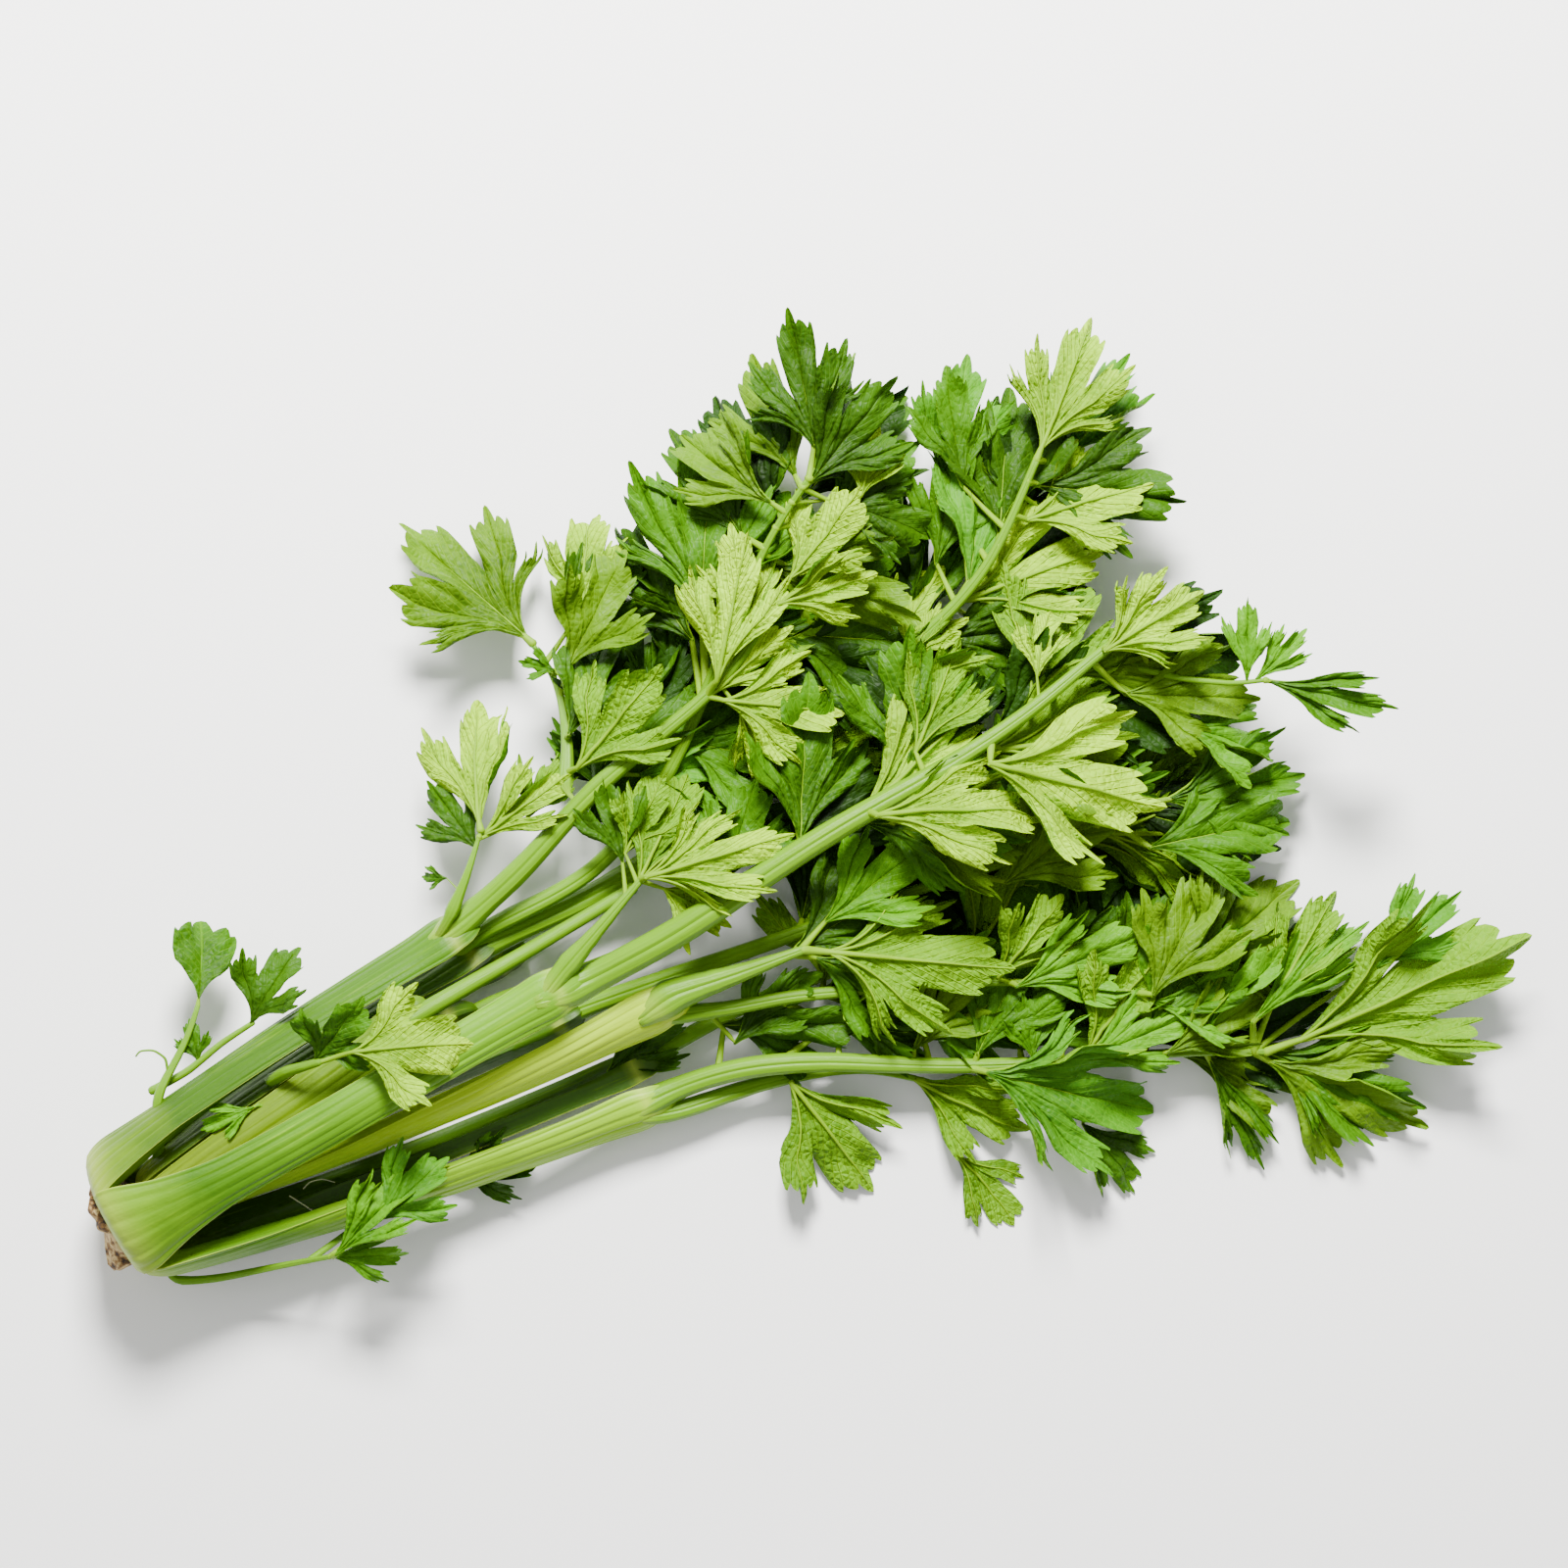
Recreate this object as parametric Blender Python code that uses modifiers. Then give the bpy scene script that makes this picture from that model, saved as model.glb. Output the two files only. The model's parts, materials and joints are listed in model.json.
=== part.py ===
"""Head of celery, lying on its side.

A short stem base holds two rings of leaf stalks and a heart. Each stalk is a crescent
trough that ends in a swollen node, where round stems branch off and carry lobed
leaflets. +X runs from the cut stem base to the leaf tips, +Z is up, and the head
rests on z = 0. Sizes are in metres.
"""

from math import cos, pi, radians, sin, tan

import bmesh
import bpy
from mathutils import Matrix, Vector
from mathutils.bvhtree import BVHTree

# Stem base: a short turned plug, cut flat at the root end.
BASE_CUT_SHARE = 0.75
BASE_LENGTH = 0.0110
BASE_GAP = 0.0015

# Leaf stalks.
STALK_REACH = 0.150
OUTER_WIDTH = 0.0200
OUTER_THICKNESS = 0.0055
OUTER_START = -0.0100
INNER_WIDTH = 0.0125
INNER_THICKNESS = 0.0042
INNER_START = 0.0020
HEART_RADIUS = 0.0042
WAIST_WIDTH = 0.0120
WAIST_THICKNESS = 0.0060
NODE_WIDTH = 0.0130
NODE_THICKNESS = 0.0085
OUTWARD_BOW = 0.0030
SEAM_GAP = 0.0012

# Stems and leaflets.
STEM_RADIUS = 0.0042
STEM_TIP_SHARE = 0.5
SHOOT_RADIUS = 0.0016
LEAFLET = 0.060
LEAFLET_THICKNESS = 0.0012
LEAFSTALK_LENGTH = 0.0050
LEAFSTALK_WIDTH = 0.0026
CLEARANCE = 0.0004

# Where neighbouring nodes lie: lanes across the head, levels above the surface.
LANE = NODE_WIDTH + 0.0020
LEVEL = NODE_THICKNESS + 0.0025

STALK_STATIONS = 9
OUTER_ARC_POINTS = 6
INNER_ARC_POINTS = 4
WAIST_AT = 0.35
SWELL_AT = 0.86

# ring, name, width against its ring's width, reach against STALK_REACH,
# lane and level of its node, and the way its back faces there in degrees
STALKS = (
    ("outer", "stalk_left", 0.95, 0.88, 1.8, 2.75, 55),
    ("outer", "stalk_top", 1.35, 1.03, -0.3, 3.75, 92),
    ("outer", "stalk_right", 0.90, 1.07, -3.45, 1.05, 118),
    ("outer", "stalk_right_under", 0.75, 1.08, -2.60, 0.55, 215),
    ("outer", "stalk_middle_under", 1.00, 0.98, -0.85, 0.60, 272),
    ("outer", "stalk_left_under", 1.00, 0.93, 0.90, 0.50, 292),
    ("inner", "stalk_left_inner", 0.92, 0.89, 1.27, 1.68, 45),
    ("inner", "stalk_top_inner", 0.80, 0.70, 0.60, 2.92, 88),
    ("inner", "stalk_right_inner", 1.20, 1.20, -1.65, 2.70, 108),
    ("inner", "stalk_inner_under", 0.95, 0.78, 0.05, 1.25, 275),
)
HEART_REACH = 0.62
HEART_LANE = 0.10
HEART_LEVEL = 2.25
RING_SHIFT = -0.003
FIRST_OUTER_ANGLE = 8.0
FIRST_INNER_ANGLE = -25.0

# name, where it starts (a stalk's node, or a place along a stem or a stalk),
# the radius against STEM_RADIUS (a shoot has its own), and its route from there as (along, across, up)
STEMS = (
    ("stem_right_short", "stalk_right", 1.0, 0.75,
     ((0, -0.005, -0.002), (0.034, -0.011, -0.004), (0.062, -0.021, -0.005), (0.080, -0.036, -0.006))),
    ("stem_right_main", "stalk_right", 1.0, 0.90,
     ((0, 0.002, 0), (0.024, -0.001, 0.003), (0.051, -0.012, 0.005), (0.087, -0.033, 0.003),
      (0.122, -0.050, 0.002), (0.157, -0.065, 0.001), (0.183, -0.079, 0))),
    ("stem_middle_under", "stalk_middle_under", 1.0, 0.75,
     ((0, 0, 0), (0.040, -0.006, 0.003), (0.071, -0.011, 0.006), (0.115, -0.017, 0.009),
      (0.158, -0.025, 0.012), (0.196, -0.027, 0.014))),
    ("stem_left_inner", "stalk_left_inner", 1.0, 0.95,
     ((0, 0, 0), (0.050, -0.003, -0.002), (0.112, 0.006, 0.001), (0.172, 0.021, 0.010),
      (0.200, 0.030, 0.014), (0.232, 0.055, 0.015))),
    ("stem_left_main", "stalk_left", 1.0, 0.95,
     ((0, 0.001, 0.001), (0.028, 0.008, 0.004), (0.058, 0.019, 0.006), (0.103, 0.028, 0.008),
      (0.123, 0.036, 0.010), (0.143, 0.048, 0.011))),
    ("stem_left_under", "stalk_left", 1.0, 0.75,
     ((0, -0.003, -0.004), (0.028, -0.005, -0.010), (0.050, -0.003, -0.014), (0.083, 0.013, -0.018),
      (0.118, 0.041, -0.020), (0.145, 0.063, -0.021), (0.168, 0.075, -0.022))),
    ("stem_right_inner_long", "stalk_right_inner", 1.0, 0.65,
     ((0, -0.004, -0.003), (0.014, -0.010, -0.006), (0.034, -0.016, -0.008), (0.050, -0.023, -0.009),
      (0.095, -0.043, -0.010), (0.138, -0.071, -0.012))),
    ("stem_right_inner_short", "stalk_right_inner", 1.0, 1.15,
     ((0, 0.002, 0.001), (0.023, -0.002, 0.003), (0.045, -0.005, 0.004))),
    ("stem_left_short", "stalk_left", 1.0, 0.50,
     ((0, 0.005, 0.002), (0.011, 0.014, 0.003), (0.022, 0.025, 0.001))),
    ("stem_left_high", "stem_left_main", 0.34, 0.55,
     ((0, 0.006, 0), (0.008, 0.018, -0.004), (0.015, 0.038, -0.008), (0.014, 0.055, -0.014))),
    ("stem_top_short", "stalk_top", 1.0, 0.85,
     ((0, 0.004, 0.002), (0.013, 0.009, 0.004), (0.036, 0.018, 0.005))),
    ("stem_top_main", "stalk_top", 1.0, 1.15,
     ((0, -0.002, 0), (0.036, -0.002, 0.006), (0.076, 0.002, 0.009), (0.106, 0.004, 0.009),
      (0.146, 0.005, 0.007), (0.177, 0.009, 0.005), (0.198, 0.014, 0.002), (0.217, 0.015, -0.003))),
    ("shoot_left", "stalk_left", 0.22, 1.0,
     ((0, 0.007, -0.004), (0.007, 0.012, -0.006), (0.017, 0.019, -0.008), (0.025, 0.027, -0.010))),
    ("shoot_right", "stalk_right", 0.06, 1.0,
     ((-0.006, -0.0035, -0.014), (0.008, -0.010, -0.013), (0.030, -0.016, -0.006), (0.048, -0.021, 0.003))),
)

# name, stem and place along it, heading and pitch in degrees (no pitch: its tip
# rests on the surface), roll (180 shows the pale underside), size against LEAFLET,
# lobes, and half the angle that the blade opens to
LEAFLETS = (
    ("leaflet_left_high_tip", "stem_left_high", 1.0, 110, None, 20, 0.98, 5, 56),
    ("leaflet_left_high_mid", "stem_left_high", 0.40, 38, -6, 10, 0.72, 3, 40),
    ("leaflet_left_high_low", "stem_left_high", 0.10, 20, 2, 170, 0.88, 3, 34),
    ("leaflet_left_short_tip", "stem_left_short", 1.0, 70, -22, 160, 0.82, 3, 36),
    ("leaflet_left_short_side", "stem_left_short", 0.9, 8, 6, 170, 0.68, 3, 30),
    ("leaflet_left_under_mid", "stem_left_under", 0.64, 74, None, 8, 1.00, 5, 46),
    ("leaflet_left_under_tip", "stem_left_under", 1.0, 57, 4, -10, 0.95, 5, 42),
    ("leaflet_left_under_side", "stem_left_under", 0.97, 12, None, 10, 1.02, 3, 38),
    ("leaflet_left_main_tip", "stem_left_main", 1.0, 21, -4, 165, 0.62, 3, 50),
    ("leaflet_left_main_left", "stem_left_main", 0.64, 52, -8, 190, 0.86, 3, 32),
    ("leaflet_left_main_right", "stem_left_main", 0.60, -34, -10, 175, 0.80, 3, 34),
    ("leaflet_top_short_tip", "stem_top_short", 1.0, -12, -4, 172, 0.82, 5, 44),
    ("leaflet_top_short_left", "stem_top_short", 0.95, 38, -6, 188, 0.72, 3, 40),
    ("leaflet_left_inner_tip", "stem_left_inner", 1.0, 38, -8, 184, 0.82, 5, 50),
    ("leaflet_left_inner_r1", "stem_left_inner", 0.88, -10, 0, 165, 0.84, 3, 32),
    ("leaflet_left_inner_r2", "stem_left_inner", 0.70, -6, -6, 172, 0.92, 3, 36),
    ("leaflet_left_inner_l1", "stem_left_inner", 0.72, 51, -6, 15, 0.92, 3, 34),
    ("leaflet_left_inner_l2", "stem_left_inner", 0.52, 30, -4, 170, 0.80, 3, 34),
    ("leaflet_top_main_l1", "stem_top_main", 0.43, 14, -6, 188, 1.00, 3, 32),
    ("leaflet_top_main_r1", "stem_top_main", 0.42, -22, -12, 160, 1.08, 3, 26),
    ("leaflet_top_main_r2", "stem_top_main", 0.56, -40, -14, 172, 1.15, 3, 34),
    ("leaflet_top_main_tip", "stem_top_main", 0.82, 6, -8, 184, 0.78, 5, 36),
    ("leaflet_top_main_r3", "stem_top_main", 0.78, -16, -12, 12, 0.78, 3, 36),
    ("leaflet_middle_under_tip", "stem_middle_under", 1.0, -20, -4, 5, 0.98, 5, 40),
    ("leaflet_middle_under_r", "stem_middle_under", 0.88, -28, None, 172, 1.16, 5, 34),
    ("leaflet_right_inner_r", "stem_right_inner_short", 1.0, -34, -12, 176, 1.05, 5, 42),
    ("leaflet_right_inner_l", "stem_right_inner_short", 0.8, 2, -2, 8, 0.85, 3, 36),
    ("leaflet_right_inner_tip", "stem_right_inner_long", 1.0, 8, None, 4, 1.12, 5, 42),
    ("leaflet_right_main_tip", "stem_right_main", 1.0, -3, 3, 186, 1.45, 3, 26),
    ("leaflet_right_main_low", "stem_right_main", 0.98, -48, None, 6, 0.98, 5, 38),
    ("leaflet_right_main_mid", "stem_right_main", 0.53, -43, None, 6, 1.14, 5, 44),
    ("leaflet_right_short", "stem_right_short", 0.40, -82, None, 172, 0.86, 3, 42),
    ("leaflet_shoot_left", "shoot_left", 1.0, 58, -14, 20, 0.50, 3, 44),
    ("leaflet_shoot_right", "shoot_right", 1.0, 18, 10, 0, 0.66, 3, 34),
)

COLOURS = {
    "stem_base": "#C8A878",
    "stalk": "#8DB82C",
    "heart": "#D3DB86",
    "stem": "#9CC24A",
    "shoot": "#A6C46A",
    "top": "#3E7A1E",
    "underside": "#AFC873",
}


def clear_scene():
    for thing in list(bpy.data.objects):
        bpy.data.objects.remove(thing, do_unlink=True)


def finish(name, roughness):
    """The named finish, made once."""
    if name in bpy.data.materials:
        return bpy.data.materials[name]
    material = bpy.data.materials.new(name)
    material.use_nodes = True
    shader = material.node_tree.nodes["Principled BSDF"]
    text = COLOURS[name]
    srgb = [int(text[i : i + 2], 16) / 255 for i in (1, 3, 5)]
    linear = [c / 12.92 if c <= 0.04045 else ((c + 0.055) / 1.055) ** 2.4 for c in srgb]
    shader.inputs["Base Color"].default_value = (*linear, 1)
    shader.inputs["Roughness"].default_value = roughness
    shader.inputs["Metallic"].default_value = 0
    return material


def add_part(name, data, material):
    """A named object in the head's collection."""
    part = bpy.data.objects.new(name, data)
    part.data.materials.append(material)
    head.objects.link(part)
    return part


def smooth_route(points, count):
    """Evenly counted points on a Catmull-Rom curve through the route's points."""
    points = [Vector(p) for p in points]
    ends = [2 * points[0] - points[1], *points, 2 * points[-1] - points[-2]]
    spans = len(points) - 1
    route = []
    for i in range(count):
        place = i / (count - 1) * spans
        k = min(int(place), spans - 1)
        t = place - k
        a, b, c, d = ends[k : k + 4]
        route.append(
            0.5 * (2 * b + (c - a) * t + (2 * a - 5 * b + 4 * c - d) * t**2
                   + (3 * b - a - 3 * c + d) * t**3)
        )
    return route


def at(route, fraction):
    """The point at this share of a route's count of points."""
    place = fraction * (len(route) - 1)
    k = min(int(place), len(route) - 2)
    return route[k].lerp(route[k + 1], place - k)


def stem_base():
    """A turned plug along X, with a flat cut end and a shoulder under the stalks."""
    mesh = bpy.data.meshes.new("stem_base")
    work = bmesh.new()
    profile = (
        (0, 0),
        (0, BASE_CUT_SHARE * base_radius),
        (0.45, base_radius),
        (0.85, base_radius),
        (1, 0.8 * base_radius),
        (1, 0),
    )
    chain = [work.verts.new((share * BASE_LENGTH, radius, 0)) for share, radius in profile]
    edges = [work.edges.new(pair) for pair in zip(chain, chain[1:])]
    bmesh.ops.spin(
        work, geom=chain + edges, axis=(1, 0, 0), cent=(0, 0, 0), angle=2 * pi, steps=20, use_merge=True
    )
    bmesh.ops.remove_doubles(work, verts=work.verts, dist=0.00001)
    bmesh.ops.recalc_face_normals(work, faces=work.faces)
    work.to_mesh(mesh)
    work.free()
    part = add_part("stem_base", mesh, finish("stem_base", 0.8))
    part.location = (INNER_START - SEAM_GAP - BASE_LENGTH, RING_SHIFT, ring_height)
    return part


def stalk_width(base_width, share):
    """Flared at the base, slim at the waist, swollen again at the node."""
    if share < WAIST_AT:
        return WAIST_WIDTH + (base_width - WAIST_WIDTH) * (1 - share / WAIST_AT) ** 2
    swell = max(0, (share - SWELL_AT) / (1 - SWELL_AT))
    return WAIST_WIDTH + (NODE_WIDTH - WAIST_WIDTH) * swell


def crescent(width, thickness, bend):
    """A trough section as (across, outward) points, with both arcs about one centre."""
    half = width / (2 * bend)
    section = []
    for count, radius, way in (
        (OUTER_ARC_POINTS, bend + thickness / 2, 1),
        (INNER_ARC_POINTS, bend - thickness / 2, -1),
    ):
        for i in range(count):
            angle = way * half * (2 * i / (count - 1) - 1)
            section.append((radius * sin(angle), radius * cos(angle) - bend))
    return section


def loft(name, rings, material):
    """A closed solid through rings of equally many points."""
    mesh = bpy.data.meshes.new(name)
    work = bmesh.new()
    loops = [[work.verts.new(point) for point in ring] for ring in rings]
    count = len(loops[0])
    for here, there in zip(loops, loops[1:]):
        for i in range(count):
            j = (i + 1) % count
            work.faces.new((here[i], here[j], there[j], there[i]))
    work.faces.new(loops[0])
    work.faces.new(loops[-1])
    bmesh.ops.recalc_face_normals(work, faces=work.faces)
    work.to_mesh(mesh)
    work.free()
    return add_part(name, mesh, material)


def outward(angle):
    return Vector((0, cos(angle), sin(angle)))


def stalk(name, base_angle, ring_radius, base_width, base_thickness, start, node, node_angle):
    """One leaf stalk, from its place in the ring to its node."""
    base = Vector((start, RING_SHIFT, ring_height)) + ring_radius * outward(base_angle)
    lift = outward(base_angle) * OUTWARD_BOW
    rings = []
    route = []
    for i in range(STALK_STATIONS):
        share = i / (STALK_STATIONS - 1)
        turned = base_angle + (node_angle - base_angle) * share
        centre = base.lerp(node, share) + lift * sin(pi * share)
        width = stalk_width(base_width, share)
        settled = min(1, share / WAIST_AT)
        thickness = base_thickness + (WAIST_THICKNESS - base_thickness) * settled
        thickness += (NODE_THICKNESS - WAIST_THICKNESS) * max(0, share - SWELL_AT) / (1 - SWELL_AT)
        bend = ring_radius + (0.75 * WAIST_WIDTH - ring_radius) * settled
        away = outward(turned)
        across = away.cross(Vector((1, 0, 0)))
        rings.append([centre + across * a + away * o for a, o in crescent(width, thickness, bend)])
        route.append(centre)
    routes[name] = route
    return loft(name, rings, finish("stalk", 0.4))


def ring_layout(ring, ring_width):
    """The stalks of one ring, and the radius at which they close it side by side."""
    members = [row for row in STALKS if row[0] == ring]
    girth = sum(row[2] * ring_width + SEAM_GAP for row in members)
    return members, girth / (2 * pi)


def ring_of_stalks(members, ring_radius, first_angle, ring_width, thickness, start):
    edge = radians(first_angle)
    for _, name, wide, reach, lane, level, faces in members:
        width = wide * ring_width
        angle = edge + (width + SEAM_GAP) / (2 * ring_radius)
        edge += (width + SEAM_GAP) / ring_radius
        node = Vector((reach * STALK_REACH, lane * LANE, level * LEVEL))
        part = stalk(name, angle, ring_radius, width, thickness, start, node, radians(faces))
        keep(part)


def heart():
    """The youngest stalk, a tapering round shoot in the middle of the head."""
    node = Vector((HEART_REACH * STALK_REACH, HEART_LANE * LANE, HEART_LEVEL * LEVEL))
    start = Vector((INNER_START, RING_SHIFT, ring_height))
    route = smooth_route((start, start.lerp(node, 0.5), node), 5)
    routes["stalk_heart"] = route
    radii = [HEART_RADIUS * share for share in (1, 1, 0.95, 0.85, 0.7)]
    return tube("stalk_heart", route, radii, finish("heart", 0.45))


def tube(name, route, radii, material):
    """A round stem: a bevelled curve with filled caps."""
    curve = bpy.data.curves.new(name, "CURVE")
    curve.dimensions = "3D"
    curve.bevel_depth = 1
    curve.bevel_resolution = 2
    curve.use_fill_caps = True
    spline = curve.splines.new("POLY")
    spline.points.add(len(route) - 1)
    for point, place, radius in zip(spline.points, route, radii):
        point.co = (*place, 1)
        point.radius = radius
    return add_part(name, curve, material)


def stem(name, parent, along, thick, path):
    """A stem from its parent, thinning to its tip, and moved clear of what is there."""
    parent_route = routes[parent]
    root = at(parent_route, along)
    route = smooth_route(path, 2 * len(path) + 1)
    young = name.startswith("shoot")
    wide = SHOOT_RADIUS if young else thick * STEM_RADIUS
    narrow = STEM_TIP_SHARE * wide
    last = len(route) - 1
    radii = [wide + (narrow - wide) * i / last for i in range(last + 1)]
    part = tube(name, route, radii, finish("shoot", 0.45) if young else finish("stem", 0.4))
    way = route[-1] - route[0]
    part.matrix_world = clear_place(part, root, Vector((way.x, way.y, 0)), 0)
    routes[name] = [part.matrix_world @ point for point in route]
    keep(part)


def blade_edge(across, lobes):
    """How far the blade reaches at this share of its opening angle: lobes and notches."""
    lobe = abs(cos(lobes * pi / 2 * across))
    return (1 - 0.30 * abs(across)) * (0.62 + 0.38 * lobe)


def leaflet(name, parent, along, heading, pitch, roll, size, lobes, opening):
    """A lobed blade on a short leafstalk: a mapped grid with thickness."""
    length = size * LEAFLET
    half = radians(opening)
    blade = length - LEAFSTALK_LENGTH
    apex = LEAFSTALK_LENGTH - LEAFSTALK_WIDTH / 2 / tan(half)
    first = LEAFSTALK_WIDTH / 2 / sin(half)
    rows = (None, 0, 0.34, 0.68, 1)
    mesh = bpy.data.meshes.new(name)
    work = bmesh.new()
    bmesh.ops.create_grid(work, x_segments=4 * lobes, y_segments=len(rows) - 1, size=1)
    for vertex in work.verts:
        across, row = vertex.co.x, round((vertex.co.y + 1) / 2 * (len(rows) - 1))
        if rows[row] is None:
            x, y = 0, across * LEAFSTALK_WIDTH / 2
        else:
            reach = first + rows[row] * (blade * blade_edge(across, lobes) - first)
            x, y = apex + reach * cos(across * half), reach * sin(across * half)
        vertex.co = (x, -y, -0.16 * x * x / length + 0.20 * y * y / length)
    work.to_mesh(mesh)
    work.free()
    shown = "underside" if 90 < roll < 270 else "top"
    part = add_part(name, mesh, finish(shown, 0.55))
    shell = part.modifiers.new("thickness", "SOLIDIFY")
    shell.thickness = LEAFLET_THICKNESS
    shell.offset = 0
    root = at(routes[parent], along)
    way = Vector((cos(radians(heading)), sin(radians(heading)), 0))
    turned = Matrix.Rotation(radians(heading), 4, "Z") @ Matrix.Rotation(radians(roll), 4, "X")
    part.matrix_world = turned
    part.matrix_world = clear_place(part, root, way, pitch)
    keep(part)


def outline_of(part, swell):
    """The evaluated solid's points, swollen by this much, and its faces."""
    bpy.context.view_layer.update()
    evaluated = part.evaluated_get(bpy.context.evaluated_depsgraph_get())
    mesh = evaluated.to_mesh()
    turned = part.matrix_world.copy()
    points = [turned @ (v.co + v.normal * swell) for v in mesh.vertices]
    faces = [tuple(face.vertices) for face in mesh.polygons]
    evaluated.to_mesh_clear()
    return points, faces


def keep(part):
    """Adds a finished piece to those that the next ones stay clear of."""
    points, faces = outline_of(part, CLEARANCE)
    placed.append(BVHTree.FromPolygons(points, faces))


def is_clear(points, faces):
    if min(point.z for point in points) < 0:
        return False
    tree = BVHTree.FromPolygons(points, faces)
    return not any(tree.overlap(other) for other in placed)


def resting_pitch(points, root, axis):
    """The steepest downward pitch at which a piece still stays above the surface."""
    pitch = 20.0
    while pitch > -60:
        turn = Matrix.Rotation(radians(-pitch), 4, axis)
        if min((root + turn @ point).z for point in points) < 0:
            break
        pitch -= 0.5
    return pitch + 0.5


def clear_place(part, root, way, pitch):
    """The nearest pose to the wanted one that touches nothing placed so far.

    The piece turns up or down about its root first, then slides along its way and
    lifts, in small steps, until it is clear.
    """
    points, faces = outline_of(part, CLEARANCE)
    way = way.normalized()
    axis = Vector((-way.y, way.x, 0))
    if pitch is None:
        pitch = resting_pitch(points, root, axis)
    tries = []
    for tilt in range(-36, 38, 2):
        for slide in range(0, 8):
            for lift in range(-6, 20):
                tries.append((abs(tilt) / 4 + slide + abs(lift), tilt, slide, lift))
    tries.sort()
    for _, tilt, slide, lift in tries:
        turn = Matrix.Rotation(radians(-pitch - tilt), 4, axis)
        move = root + way * (slide * 0.001) + Vector((0, 0, lift * 0.001))
        if is_clear([move + turn @ point for point in points], faces):
            break
    else:
        print(part.name, "has no clear place")
    return Matrix.Translation(move) @ turn @ part.matrix_world


def stand_on_origin():
    """Moves every piece so that the head's box stands on the origin."""
    bpy.context.view_layer.update()
    corners = []
    for part in head.objects:
        points, _ = outline_of(part, 0)
        corners += points
    low = Vector(min(corner[i] for corner in corners) for i in range(3))
    high = Vector(max(corner[i] for corner in corners) for i in range(3))
    shift = Vector((-(low.x + high.x) / 2, -(low.y + high.y) / 2, -low.z))
    for part in head.objects:
        part.matrix_world = Matrix.Translation(shift) @ part.matrix_world


clear_scene()
head = bpy.data.collections.new("celery_head")
bpy.context.scene.collection.children.link(head)
placed = []
routes = {}
outer_members, outer_radius = ring_layout("outer", OUTER_WIDTH)
inner_members, inner_radius = ring_layout("inner", INNER_WIDTH)
base_radius = outer_radius - OUTER_THICKNESS / 2 - BASE_GAP
ring_height = outer_radius + OUTER_THICKNESS / 2 + OUTWARD_BOW

keep(stem_base())
ring_of_stalks(outer_members, outer_radius, FIRST_OUTER_ANGLE, OUTER_WIDTH, OUTER_THICKNESS, OUTER_START)
ring_of_stalks(inner_members, inner_radius, FIRST_INNER_ANGLE, INNER_WIDTH, INNER_THICKNESS, INNER_START)
keep(heart())
for row in STEMS:
    stem(*row)
for row in LEAFLETS:
    leaflet(*row)
stand_on_origin()
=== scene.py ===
import json
import math
import random

import bmesh
import bpy
import numpy as np
from mathutils import Matrix, Vector


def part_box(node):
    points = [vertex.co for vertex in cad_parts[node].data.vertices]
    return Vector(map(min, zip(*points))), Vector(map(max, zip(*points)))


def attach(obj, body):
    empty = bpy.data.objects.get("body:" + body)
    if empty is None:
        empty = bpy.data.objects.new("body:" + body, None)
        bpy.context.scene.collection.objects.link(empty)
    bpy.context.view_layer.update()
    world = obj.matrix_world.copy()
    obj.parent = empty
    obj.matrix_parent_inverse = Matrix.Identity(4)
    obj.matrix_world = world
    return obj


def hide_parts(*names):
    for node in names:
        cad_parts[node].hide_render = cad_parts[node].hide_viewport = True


norm = np.linalg.norm

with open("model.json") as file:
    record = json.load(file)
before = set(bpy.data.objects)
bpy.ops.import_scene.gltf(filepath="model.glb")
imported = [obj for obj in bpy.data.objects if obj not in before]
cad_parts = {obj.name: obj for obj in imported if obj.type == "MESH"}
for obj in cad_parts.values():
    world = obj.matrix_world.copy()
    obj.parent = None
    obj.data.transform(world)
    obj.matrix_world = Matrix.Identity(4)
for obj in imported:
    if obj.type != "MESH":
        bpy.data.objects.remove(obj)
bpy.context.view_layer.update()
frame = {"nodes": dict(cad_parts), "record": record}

# ---------------------------------------------------------------- sizes in metres, counts and shares
STALK_SLICES = 60
STALK_ROWS = 90
STALK_OUTER = 73
STALK_INNER = 22
RIB_SPACING = 0.0025
RIB_HEIGHT = 0.00034
HEEL_LENGTH = 0.011
HEEL_SHARE = 0.80
HEEL_START = 0.0005
KNUCKLE_CAP = 0.009
KNUCKLE_SWELL = 0.0005
KNUCKLE_PINCH = 0.16
KNUCKLE_LENGTH = 0.005
KNUCKLE_NECK = 0.008
RIB_FADE = 0.006
ROOT_BLEACH = 0.007
BAND_WIDTH = 0.0018
BLEACHED_EDGE = 0.93
STEM_DEPTH = 0.007
BASE_FLARE = 0.26
FLARE_LENGTH = 0.024
OUTER_RING = 0.013
TROUGH_TURN = math.radians(86)
STEM_COLUMNS = 40
STEM_STEP = 0.0025
THICK_STEM = 0.0028
STEM_TAPER = 0.42
BLADE_THICKNESS = 0.00042
BLADE_ROWS = 17
BLADE_FIT = 0.93
BLADE_TIP = 0.9
RIB_SINK = 0.0002
LEAFSTALK_REACH = 0.006
TOOTH_HEIGHT = 0.080
SUBLOBE_HEIGHT = 0.050
BASE_CROWD = 0.003
FIVE_LOBE_POINTS = 170
TEETH_PER_LOBE = 5
TOOTH_SHAPE = (0.05, 0.80, 1.0, 0.88, 0.55)
LEAFSTALK_RADIUS = 0.00115
FLOOR_GAP = 0.0006
SETTLE = 0.0025
ROOT_RADIUS = 0.0155
ROOT_COLUMNS = 64
SHARP_ANGLE = math.radians(60)

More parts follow.
